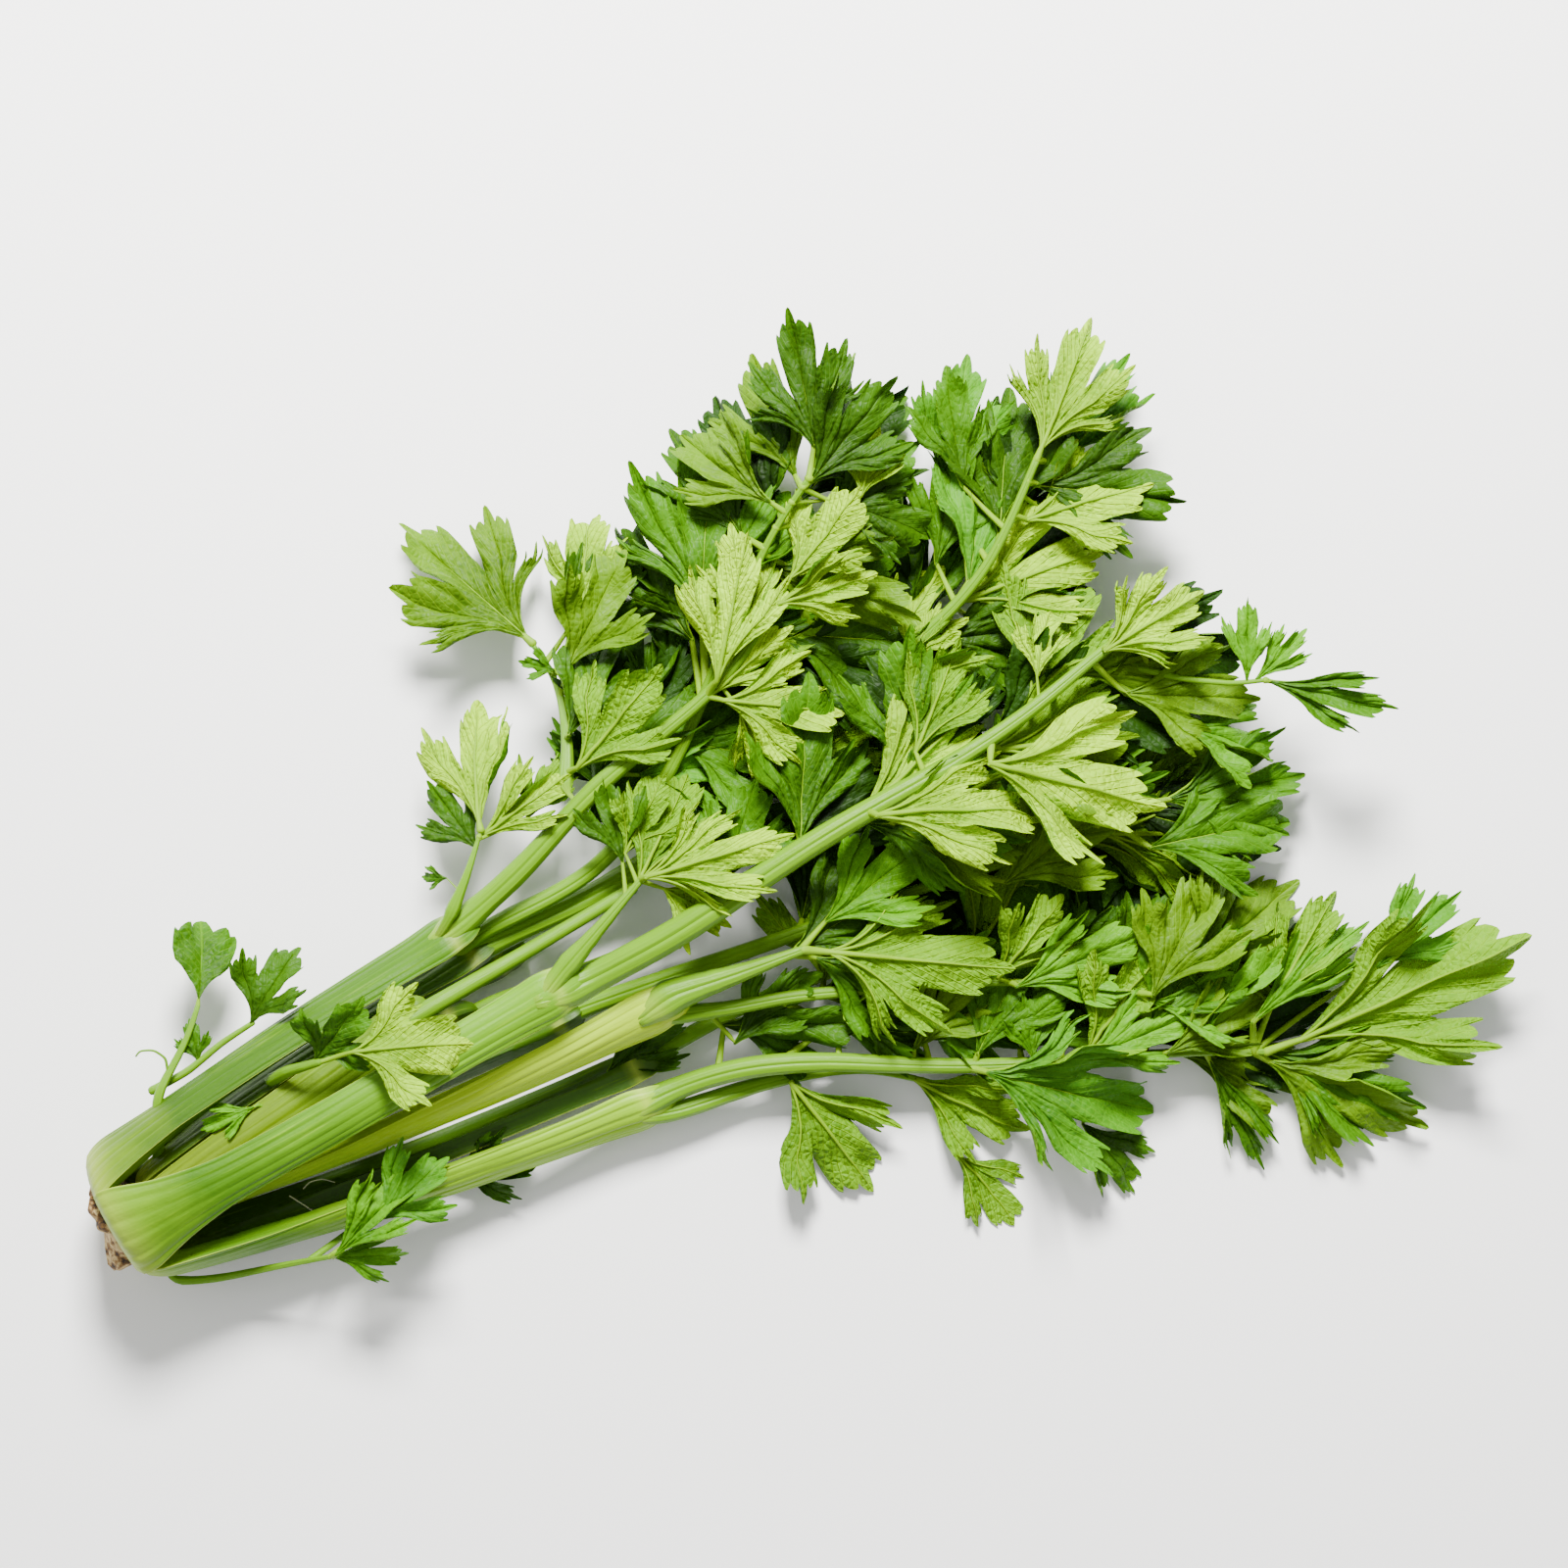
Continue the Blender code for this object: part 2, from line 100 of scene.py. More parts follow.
BASE_LOW, BASE_HIGH = (np.array(corner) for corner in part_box("stem_base"))
BASE_CENTRE = (BASE_LOW + BASE_HIGH) / 2
ROOT_X = BASE_LOW[0]


# ---------------------------------------------------------------- materials
def colour(text):
    """An sRGB hex value as linear RGBA."""
    srgb = [int(text[i:i + 2], 16) / 255 for i in (1, 3, 5)]
    return (*[c / 12.92 if c <= 0.04045 else ((c + 0.055) / 1.055) ** 2.4 for c in srgb], 1)


def plug(tree, target, inputs):
    """Fills a node's inputs, each with a value or with the socket to link."""
    for name, value in inputs.items():
        socket = target.inputs[name]
        if isinstance(value, bpy.types.NodeSocket):
            tree.links.new(value, socket)
        else:
            socket.default_value = value


def node(tree, kind, inputs=None, stops=None, **settings):
    """Adds a node: settings are its properties, and stops are a colour ramp's."""
    made = tree.nodes.new(kind)
    for name, value in settings.items():
        setattr(made, name, value)
    plug(tree, made, inputs or {})
    if stops:
        ramp = made.color_ramp
        while len(ramp.elements) < len(stops):
            ramp.elements.new(1)
        for element, (place, shade) in zip(ramp.elements, stops):
            element.position = place
            element.color = colour(shade) if isinstance(shade, str) else (shade, shade, shade, 1)
    return made


def math_node(tree, operation, *values, clamp=False):
    made = node(tree, "ShaderNodeMath", dict(enumerate(values)), operation=operation, use_clamp=clamp)
    return made.outputs[0]


def mix(tree, factor, a, b, blend="MIX"):
    made = node(tree, "ShaderNodeMix", data_type="RGBA", blend_type=blend, clamp_factor=True)
    plug(tree, made, {0: factor, 6: a, 7: b})
    return made.outputs[2]


def new_material(name):
    material = bpy.data.materials.new(name)
    material.use_nodes = True
    tree = material.node_tree
    shader = tree.nodes["Principled BSDF"]
    return material, tree, shader


def skin_places(tree):
    """The two sides of the skin's UV map, and the place on the object."""
    own = node(tree, "ShaderNodeUVMap", uv_map="skin").outputs[0]
    split = node(tree, "ShaderNodeSeparateXYZ", {0: own})
    place = node(tree, "ShaderNodeTexCoord").outputs["Object"]
    return split.outputs[0], split.outputs[1], place


def relief(tree, height, strength, distance):
    """A normal bumped by the height, at most the distance in metres."""
    bump = node(tree, "ShaderNodeBump", {"Height": height, "Strength": strength, "Distance": distance})
    return bump.outputs[0]


def leaf_material(name, light, dark, vein, roughness, vein_height, vein_strength, depth=0.4):
    """Celery leaf skin: a waxy blade with fanned ribs, side veins and fine puckers between."""
    material, tree, shader = new_material(name)
    across, reach, place = skin_places(tree)
    # A rib runs up the middle of each lobe: across is 0 on it and 1 in the notch.
    off_rib = math_node(tree, "MULTIPLY", across, reach)
    rib = math_node(tree, "SUBTRACT", 1.0, math_node(tree, "DIVIDE", off_rib, 0.030), clamp=True)
    # Side veins leave the rib forwards, about a tenth of the blade apart.
    lean = math_node(tree, "MULTIPLY", off_rib, 7.0)
    phase = math_node(tree, "SUBTRACT", math_node(tree, "MULTIPLY", reach, 10.0), lean)
    wave = math_node(tree, "ABSOLUTE", math_node(tree, "SUBTRACT", math_node(tree, "FRACT", phase), 0.5))
    side = math_node(tree, "SUBTRACT", 1.0, math_node(tree, "DIVIDE", wave, 0.13), clamp=True)
    side = math_node(tree, "MULTIPLY", side, 0.55)
    veins = math_node(tree, "MAXIMUM", rib, side)
    # Puckers about 2.5 mm across lie between the smallest veins.
    cells = node(tree, "ShaderNodeTexVoronoi", {"Vector": place, "Scale": 420.0},
                 feature="DISTANCE_TO_EDGE")
    pucker = math_node(tree, "MULTIPLY", cells.outputs["Distance"], 2.2, clamp=True)
    # Tone drifts across each blade and from one leaflet to the next; the thin tips are painted bright, as if
    # lit through.
    cloud = node(tree, "ShaderNodeTexNoise",
                 {"Vector": place, "Scale": 55.0, "Detail": 4.0, "Roughness": 0.65})
    drift = node(tree, "ShaderNodeTexNoise", {"Vector": place, "Scale": 16.0, "Detail": 1.0})
    tone = math_node(tree, "ADD", cloud.outputs["Fac"], drift.outputs["Fac"])
    # Painted glow: the tone is lighter towards the tip, standing for light through the thin edges, and darker
    # towards the base.
    thin = math_node(tree, "MULTIPLY", math_node(tree, "SUBTRACT", reach, 0.45), 0.28)
    tone = math_node(tree, "ADD", math_node(tree, "MULTIPLY", tone, 0.5), thin)
    shade = node(tree, "ShaderNodeValToRGB", {0: tone}, stops=((0.42, dark), (0.62, light)))
    net = math_node(tree, "MULTIPLY", math_node(tree, "SUBTRACT", 1.0, pucker), 0.16)
    tinted = mix(tree, net, shade.outputs[0], colour(vein))
    strength = math_node(tree, "MULTIPLY", veins, vein_strength)
    height = math_node(tree, "ADD", math_node(tree, "MULTIPLY", veins, vein_height), pucker)
    plug(tree, shader, {
        "Base Color": mix(tree, strength, tinted, colour(vein)),
        "Normal": relief(tree, height, depth, 0.0007),
        "Roughness": roughness,
        "Specular IOR Level": 0.12,
        "Subsurface Weight": 0.03,
        "Subsurface Radius": (0.4, 1.0, 0.15),
        "Subsurface Scale": 0.002,
    })
    return material


def stalk_material(name, base, young, grown, roughness=0.42):
    """Celery stalk skin: crisp and fibrous, pale at the root end and greener along it."""
    material, tree, shader = new_material(name)
    around, along, place = skin_places(tree)
    x = node(tree, "ShaderNodeSeparateXYZ", {0: place}).outputs[0]
    # The green deepens over the first 13 cm from the root.
    cloud = node(tree, "ShaderNodeTexNoise", {"Vector": place, "Scale": 55.0, "Detail": 3.0})
    wobble = math_node(tree, "MULTIPLY", math_node(tree, "SUBTRACT", cloud.outputs["Fac"], 0.5), 0.05)
    from_root = math_node(tree, "ADD", math_node(tree, "SUBTRACT", x, ROOT_X), wobble)
    grown_share = math_node(tree, "DIVIDE", from_root, 0.15)
    shade = node(tree, "ShaderNodeValToRGB", {0: grown_share},
                 stops=((0.04, base), (0.24, young), (0.85, grown)))
    # Long fibres under the skin, about 2 mm apart, show as faint streaks.
    stretched = {0: math_node(tree, "MULTIPLY", around, 34.0), 1: math_node(tree, "MULTIPLY", along, 2.2)}
    streak_place = node(tree, "ShaderNodeCombineXYZ", stretched).outputs[0]
    streaks = node(tree, "ShaderNodeTexNoise",
                   {"Vector": streak_place, "Scale": 1.0, "Detail": 4.0, "Roughness": 0.65})
    fibre = node(tree, "ShaderNodeValToRGB", {0: streaks.outputs["Fac"]},
                 stops=((0.30, 0.72), (0.52, 1.0), (0.72, 1.0)))
    streaked = mix(tree, 0.75, shade.outputs[0], fibre.outputs[0], "MULTIPLY")
    pale = node(tree, "ShaderNodeValToRGB", {0: streaks.outputs["Fac"]}, stops=((0.58, 0.0), (0.78, 0.35)))
    lit = mix(tree, pale.outputs[0], streaked, colour("#9CC400"))
    # Edges, knuckles and the end by the root are bleached, as the mesh marks them.
    bleached = node(tree, "ShaderNodeAttribute", attribute_name="pale").outputs["Fac"]
    lit = mix(tree, bleached, lit, colour("#BCCC4C"))
    pores = node(tree, "ShaderNodeTexNoise", {"Vector": place, "Scale": 900.0, "Detail": 2.0})
    grain = math_node(tree, "MULTIPLY", pores.outputs["Fac"], 0.35)
    skin = math_node(tree, "ADD", streaks.outputs["Fac"], grain)
    plug(tree, shader, {
        "Base Color": lit,
        "Normal": relief(tree, skin, 0.45, 0.0005),
        "Roughness": roughness,
        "Specular IOR Level": 0.20,
        "Subsurface Weight": 0.05,
        "Subsurface Radius": (0.8, 1.0, 0.25),
        "Subsurface Scale": 0.003,
    })
    return material


def root_material():
    """Cut celery root: corky tan flesh with brown scars and torn fibres."""
    material, tree, shader = new_material("celery_root_cork")
    place = node(tree, "ShaderNodeTexCoord").outputs["Object"]
    cork = node(tree, "ShaderNodeTexNoise",
                {"Vector": place, "Scale": 260.0, "Detail": 5.0, "Roughness": 0.7})
    shade = node(tree, "ShaderNodeValToRGB", {0: cork.outputs["Fac"]},
                 stops=((0.40, "#2A1A08"), (0.49, "#7C5A2A"), (0.60, "#C8B078")))
    bumps = relief(tree, cork.outputs["Fac"], 0.9, 0.001)
    plug(tree, shader, {"Base Color": shade.outputs[0], "Normal": bumps, "Roughness": 0.85})
    return material


# Each shade's light tone, dark tone and veins, which are sunk on top and raised underneath.
LEAF_TOPS = {
    shade: leaf_material("leaf_top_" + shade, light, dark, vein, roughness, -0.9, vein_strength)
    for shade, light, dark, vein, roughness, vein_strength in (
        # The shade look is painted shadow: near-black, for leaves set low in the gaps of the pile.
        ("shade", "#143000", "#081900", "#2A4A00", 0.55, 0.40),
        ("dark", "#2A5200", "#143000", "#4A7000", 0.50, 0.45),
        ("olive", "#4C7200", "#2A4A00", "#729800", 0.50, 0.55),
        ("mid", "#336400", "#193C00", "#5A8A00", 0.50, 0.50),
        ("bright", "#488200", "#285A00", "#6EA600", 0.50, 0.45),
        ("blue", "#3C780A", "#1E4E04", "#6AA414", 0.52, 0.50),
    )
}
LEAF_UNDERS = {
    "pale": leaf_material("leaf_under_pale", "#8AB800", "#5C8800", "#A8CC08", 0.60, 1.1, 0.60, 0.85),
    "soft": leaf_material("leaf_under_soft", "#5A8A00", "#3A6600", "#82AC00", 0.60, 1.1, 0.55, 0.80),
}
# Each stalk's green at the root, further up and at the knuckle.
STALK_SKINS = {
    stalk: stalk_material("stalk_skin_" + label, base, young, grown)
    for stalk, label, base, young, grown in (
        ("stalk_left", "left", "#587800", "#2F5200", "#3E6A00"),
        ("stalk_top", "top", "#5E8800", "#3A6600", "#5C8E00"),
        ("stalk_right", "right", "#648E00", "#4A7800", "#7CA800"),
        ("stalk_right_inner", "yellow", "#789A00", "#7CA200", "#A0C200"),
        ("stalk_top_inner", "inner", "#668000", "#5C7400", "#4E7400"),
        ("stalk_left_inner", "deep", "#567400", "#345400", "#385C00"),
    )
}
STALK_SKIN = stalk_material("stalk_skin", "#587800", "#305000", "#335400")
STEM_SKIN = stalk_material("stem_skin", "#5E8C00", "#5A8800", "#5C8A00", 0.38)
RIB_SKIN = stalk_material("leaf_rib_skin", "#749E00", "#729A00", "#709800", 0.48)
ROOT_CORK = root_material()
HAIR = stalk_material("root_hair", "#D8D8B4", "#D8D8B4", "#D8D8B4", 0.5)


# ---------------------------------------------------------------- reading the frame
def cad_triangles(name):
    mesh = frame["nodes"][name].data
    mesh.calc_loop_triangles()
    points = np.empty(len(mesh.vertices) * 3)
    mesh.vertices.foreach_get("co", points)
    corners = np.empty(len(mesh.loop_triangles) * 3, np.int32)
    mesh.loop_triangles.foreach_get("vertices", corners)
    return points.reshape(-1, 3)[corners.reshape(-1, 3)]


def cad_points(name):
    """The node's corner points, each once."""
    return np.unique(np.round(cad_triangles(name).reshape(-1, 3), 6), axis=0)


def slice_edges(triangles, axis, level):
    """The two ends of each edge that a plane cuts out of the triangles."""
    sides = triangles @ axis - level
    starts, ends = [], []
    for lone in range(3):
        near, far = (lone + 1) % 3, (lone + 2) % 3
        cut = (sides[:, lone] * sides[:, near] < 0) & (sides[:, lone] * sides[:, far] < 0)
        for other, out in ((near, starts), (far, ends)):
            t = sides[cut, lone] / (sides[cut, lone] - sides[cut, other])
            from_lone = triangles[cut, other] - triangles[cut, lone]
            out.append(triangles[cut, lone] + from_lone * t[:, None])
    return np.concatenate(starts), np.concatenate(ends)


def tube_route(name, start, count=15):
    """The middle line and radius of a round node, read from slices across its long axis."""
    triangles = cad_triangles(name)
    points = triangles.reshape(-1, 3)
    middle = points.mean(axis=0)
    axis = np.linalg.svd(points - middle, full_matrices=False)[2][0]
    if np.dot(np.array(start) - middle, axis) > 0:
        axis = -axis
    depth = points @ axis
    route, radii = [], []
    for i in range(count):
        share = 0.012 + 0.976 * i / (count - 1)
        level = depth.min() + share * (depth.max() - depth.min())
        cut = np.concatenate(slice_edges(triangles, axis, level))
        centre = (cut.max(axis=0) + cut.min(axis=0)) / 2
        centre += axis * (level - centre @ axis)
        route.append(centre)
        radii.append(norm(cut - centre, axis=1).min())
    return np.array(route), np.array(radii)


def stalk_sections(name):
    """Slices of a trough across X: x, middle, the way its back faces, half width, and the back
    and hollow as heights above the middle over evenly turned columns."""
    triangles = cad_triangles(name)
    low, high = triangles[..., 0].min(), triangles[..., 0].max()
    turns = np.sin(np.linspace(-1, 1, 41) * TROUGH_TURN)
    rows = []
    last = None
    for i in range(STALK_SLICES):
        x = low + (0.004 + 0.990 * i / (STALK_SLICES - 1)) * (high - low)
        starts, ends = (part[:, 1:] for part in slice_edges(triangles, np.array((1.0, 0.0, 0.0)), x))
        ring = np.concatenate([starts, ends])
        middle = (ring.max(axis=0) + ring.min(axis=0)) / 2
        across = np.linalg.svd(ring - ring.mean(axis=0), full_matrices=False)[2][0]
        if last is None:
            out = np.array((-across[1], across[0]))
            if (ring.mean(axis=0) - BASE_CENTRE[1:]) @ out < 0:
                across = -across
        elif across @ last < 0:
            across = -across
        if last is not None and across @ last < math.cos(math.radians(25)):
            across = last
        last = across
        out = np.array((-across[1], across[0]))
        a = (ring - middle) @ across
        middle = middle + across * (a.max() + a.min()) / 2
        half = (a.max() - a.min()) / 2
        a0, a1 = (starts - middle) @ across, (ends - middle) @ across
        o0, o1 = (starts - middle) @ out, (ends - middle) @ out
        back, hollow = [], []
        for turn in turns:
            level = turn * half
            hit = (a0 - level) * (a1 - level) <= 0
            run = a1[hit] - a0[hit]
            t = (level - a0[hit]) / np.where(np.abs(run) < 1e-9, 1e-9, run)
            heights = o0[hit] + (o1[hit] - o0[hit]) * np.clip(t, 0, 1)
            back.append(heights.max())
            hollow.append(heights.min())
        rows.append((x, *middle, math.atan2(out[1], out[0]), half, *back, *hollow))
    rows = np.array(rows)
    rows[:, 3] = np.unwrap(rows[:, 3])
    return rows, turns


# ---------------------------------------------------------------- mesh helpers
def grid_sheet(bm, places, marks, material=0, pale=None):
    """A grid laid over places[row, column], with marks as its UV map and pale as its bleaching."""
    rows, columns = places.shape[:2]
    uv = bm.loops.layers.uv["skin"]
    bleach = bm.verts.layers.float["pale"]
    made = bmesh.ops.create_grid(bm, x_segments=columns - 1, y_segments=rows - 1, size=1)["verts"]
    keys = {}
    for vertex in made:
        row = round((vertex.co.y + 1) / 2 * (rows - 1))
        column = round((vertex.co.x + 1) / 2 * (columns - 1))
        keys[vertex] = (row, column)
    for vertex, key in keys.items():
        vertex.co = places[key]
        vertex[bleach] = 0.0 if pale is None else pale[key]
    for face in {face for vertex in made for face in vertex.link_faces}:
        face.material_index = material
        face.smooth = True
        for loop in face.loops:
            loop[uv].uv = marks[keys[loop.vert]]


def add_object(name, data):
    made = bpy.data.objects.new(name, data)
    bpy.context.scene.collection.objects.link(made)
    return made


def new_sheet():
    bm = bmesh.new()
    bm.loops.layers.uv.new("skin")
    bm.verts.layers.float.new("pale")
    return bm


def finish_piece(name, bm, materials, merge=1e-6):
    bmesh.ops.remove_doubles(bm, verts=bm.verts, dist=merge)
    bmesh.ops.dissolve_degenerate(bm, edges=bm.edges, dist=merge)
    bmesh.ops.recalc_face_normals(bm, faces=bm.faces)
    mesh = bpy.data.meshes.new(name)
    bm.to_mesh(mesh)
    bm.free()
    mesh.set_sharp_from_angle(angle=SHARP_ANGLE)
    piece = add_object(name, mesh)
    for material in materials:
        mesh.materials.append(material)
    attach(piece, "root")
    return piece


def lengths_along(route):
    """How far along the route each of its points is."""
    return np.concatenate([[0], np.cumsum(norm(np.diff(route, axis=0), axis=1))])


def resample(route, values, count):
    """The route and values at evenly spaced lengths, on a smooth curve."""
    route = np.asarray(route, float)
    length = lengths_along(route)
    even = np.linspace(0, length[-1], count)
    out = np.stack([np.interp(even, length, route[:, i]) for i in range(3)], axis=1)
    for _ in range(max(3, count // 8)):
        out[1:-1] = (out[:-2] + 2 * out[1:-1] + out[2:]) / 4
    return out, np.interp(even, length, values), length[-1]


def frames_along(route):
    """Unit tangents, and sides and tops carried along them without twist."""
    tangents = np.gradient(route, axis=0)
    tangents /= norm(tangents, axis=1)[:, None]
    top = np.array((0.0, 0.0, 1.0))
    sides, tops = [], []
    for tangent in tangents:
        top = top - tangent * (top @ tangent)
        top /= norm(top)
        sides.append(np.cross(top, tangent))
        tops.append(top)
    return tangents, np.array(sides), np.array(tops)


def tube(bm, route, radii, ribs, rib_height, columns, material=0, groove=0.0, pale=None):
    """A round stem from a grid rolled round its route, ribbed, with a groove along its top."""
    tangents, sides, tops = frames_along(route)
    angles = np.linspace(0, 2 * math.pi, columns + 1)
    shape = 1 - rib_height + rib_height * np.abs(np.cos(ribs * angles / 2)) ** 0.6
    shape = shape - groove * np.exp(-((angles - math.pi / 2) / 0.45) ** 2)
    ring = np.cos(angles)[None, :, None] * sides[:, None] + np.sin(angles)[None, :, None] * tops[:, None]
    body = route[:, None] + radii[:, None, None] * shape[None, :, None] * ring
    caps = []
    for end, way in ((0, -1), (-1, 1)):
        for out, wide in ((0.55, 0.75), (0.8, 0.0)):
            centre = route[end] + way * tangents[end] * radii[end] * out
            caps.append(centre + (body[end] - route[end]) * wide)
    places = np.concatenate([caps[1][None], caps[0][None], body, caps[2][None], caps[3][None]])
    places[:, -1] = places[:, 0]
    length = lengths_along(route)
    along = np.concatenate([[0, 0], length, [length[-1], length[-1]]])
    marks = np.stack(np.broadcast_arrays((angles / (2 * math.pi))[None, :], (along * 10)[:, None]), axis=2)
    bleach = None
    if pale is not None:
        bleach = np.concatenate([pale[:1], pale[:1], pale, pale[-1:], pale[-1:]])
        bleach = bleach[:, None].repeat(columns + 1, 1)
    grid_sheet(bm, places, marks, material, bleach)


# ---------------------------------------------------------------- stalks and stems
def build_stalk(name):
    """A trough of crisp flesh: ribbed back, smooth hollow, thin bleached edges, a rounded heel by
    the root, and a swollen knuckle where its stems leave it."""
    noise = random.Random(name)
    rows, turns = stalk_sections(name)
    xs = rows[:, 0]
    even = np.linspace(xs[0] + HEEL_START, xs[-1] + KNUCKLE_CAP, STALK_ROWS)
    table = np.stack([np.interp(even, xs, rows[:, i]) for i in range(1, rows.shape[1])], axis=1)
    # Past the last slice, the knuckle's cap runs on the way the stalk ran.
    past = np.clip(even - xs[-1], 0, None)
    slope = (rows[-1, 1:3] - rows[-4, 1:3]) / (xs[-1] - xs[-4])
    table[:, 0:2] += past[:, None] * slope
    for _ in range(5):
        table[1:-1] = (table[:-2] + 2 * table[1:-1] + table[2:]) / 4
    back_turns = np.linspace(-1, 1, STALK_OUTER)
    hollow_turns = np.linspace(1, -1, STALK_INNER)
    swings = np.concatenate([back_turns, hollow_turns[1:-1], back_turns[:1]])
    is_back = np.concatenate([np.ones(STALK_OUTER), np.zeros(STALK_INNER - 2), [1]]).astype(bool)
    widest = rows[len(rows) // 2, 4]
    ribs = max(5, round(2.3 * widest / RIB_SPACING))
    bend = noise.uniform(0, 6.3)
    is_outer = norm(rows[4, 1:3] - BASE_CENTRE[1:]) > OUTER_RING
    places, pale = [], []
    for i, x in enumerate(even):
        cy, cz, facing, half = table[i, :4]
        back, hollow = table[i, 4:4 + len(turns)], table[i, 4 + len(turns):]
        a = np.sin(swings * TROUGH_TURN)
        o = np.where(is_back, np.interp(a, turns, back), np.interp(a, turns, hollow))
        flare = 1 + BASE_FLARE * math.exp(-((x - even[0]) / FLARE_LENGTH) ** 2) * is_outer
        pinch = 1 - KNUCKLE_PINCH * np.clip((x - xs[-1] + KNUCKLE_NECK) / KNUCKLE_NECK, 0, 1) ** 2
        a = a * half * flare * pinch
        knuckle = math.exp(-((x - xs[-1] + KNUCKLE_LENGTH) / KNUCKLE_LENGTH) ** 2)
        # Ribs push the back out along its own normal.
        curve = np.stack([a, o], axis=1)[:STALK_OUTER]
        way = np.gradient(curve, axis=0)
        normal = np.stack([-way[:, 1], way[:, 0]], axis=1)
        normal /= norm(normal, axis=1)[:, None]
        phase = ribs * (back_turns / 2 + 0.5) + 0.25 * math.sin(x * 45 + bend)
        rib = np.abs(np.sin(math.pi * phase)) ** 0.7 - 0.6
        fade = (1 - np.abs(back_turns) ** 6) * (1 - np.clip((x - xs[-1] + RIB_FADE) / RIB_FADE, 0, 1))
        push = RIB_HEIGHT * rib * fade + KNUCKLE_SWELL * knuckle * (1 - back_turns**2)
        curve = curve + normal * push[:, None]
        a[:STALK_OUTER], o[:STALK_OUTER] = curve[:, 0], curve[:, 1]
        a[-1], o[-1] = a[0], o[0]
        shut = min(1.0, past[i] / KNUCKLE_CAP)
        shrink = math.sqrt(max(0.0, 1 - shut**2))
        out = np.array((math.cos(facing), math.sin(facing)))
        across = np.array((out[1], -out[0]))
        spot = np.array((cy, cz)) + (a[:, None] * across + o[:, None] * out) * shrink
        heel = np.clip((x - even[0]) / HEEL_LENGTH, 0, 1)
        gather = HEEL_SHARE + (1 - HEEL_SHARE) * math.sqrt(1 - (1 - heel) ** 2)
        spot = BASE_CENTRE[1:] + (spot - BASE_CENTRE[1:]) * gather
        row = np.column_stack([np.full(len(spot), x), spot])
        edge = np.clip((np.abs(swings) - BLEACHED_EDGE) / (1 - BLEACHED_EDGE), 0, 1) * 0.8
        root = 0.38 * math.exp(-((x - even[0]) / ROOT_BLEACH) ** 2)
        band = 0.30 * math.exp(-((x - xs[-1] + 0.001) / BAND_WIDTH) ** 2)
        bleach = 1 - (1 - edge) * (1 - root) * (1 - band)
        if i == 0:
            places.append(np.repeat(row.mean(axis=0)[None], len(row), axis=0))
            pale.append(bleach)
        places.append(row)
        pale.append(bleach)
    places, pale = np.array(places), np.array(pale)
    around = np.where(is_back, 0.25 + 0.25 * swings, 0.75 - 0.25 * swings)
    along = (places[:, :, 0] - xs[0]) * 10
    marks = np.stack(np.broadcast_arrays(around[None, :], along), axis=2)
    bm = new_sheet()
    grid_sheet(bm, places, marks, 0, pale)
    piece = finish_piece(name + "_flesh", bm, [STALK_SKINS.get(name, STALK_SKIN)], merge=2e-6)
    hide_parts(name)
    ends[name] = places[np.searchsorted(even, xs[-1])].mean(axis=0)
    depths[name] = places[np.searchsorted(even, xs[-1] - STEM_DEPTH)].mean(axis=0)


def build_stem(name, start, slot="stem"):
    """A grooved, ribbed stem that runs on into the knuckle or root it grows from."""
    route, radii = tube_route(name, start)
    routes[name] = route
    route = np.vstack([start, route])
    radii = np.concatenate([[radii[0]], radii])
    length = norm(np.diff(route, axis=0), axis=1).sum()
    smooth, thick, length = resample(route, radii, max(20, int(length / STEM_STEP)))
    gone = np.linspace(0, length, len(thick))
    # The stem narrows where it leaves the knuckle, is palest 4 mm on, and is thickest at 10 mm.
    swell = 0.22 * np.exp(-((gone - 0.010) / 0.008) ** 2)
    neck = 0.35 * np.exp(-(gone / 0.004) ** 2)
    thick = thick * (1.08 + swell - neck)
    if slot == "stem":
        thick = thick * (1 - STEM_TAPER * np.clip((gone / length - 0.35) / 0.65, 0, 1))
    pale = 0.20 * np.exp(-((gone - 0.004) / 0.004) ** 2)
    bm = new_sheet()
    ribs = 14 if thick.max() > THICK_STEM else 8
    tube(bm, smooth, thick, ribs, 0.10, STEM_COLUMNS, groove=0.16, pale=pale)
    piece = finish_piece(name + "_skin", bm, [STEM_SKIN])
    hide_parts(name)


# ---------------------------------------------------------------- leaflets
def lobe_table(lobes, noise):
    """Where the lobes meet across the opening, how far each reaches, and the notches between."""
    shares = {1: (1.0,), 3: (0.31, 0.38, 0.31), 5: (0.15, 0.22, 0.26, 0.22, 0.15)}[lobes]
    reaches = {1: (1.0,), 3: (0.80, 1.0, 0.80), 5: (0.60, 0.84, 1.0, 0.84, 0.60)}[lobes]
    shares = np.array([share * noise.uniform(0.9, 1.1) for share in shares])
    walls = np.concatenate([[0], np.cumsum(shares / shares.sum())]) * 2 - 1
    reaches = [reach * noise.uniform(0.93, 1.06) for reach in reaches]
    between = [min(a, b) * noise.uniform(0.48, 0.74) for a, b in zip(reaches, reaches[1:])]
    notches = [0.42] + between + [0.42]
    return walls, reaches, notches


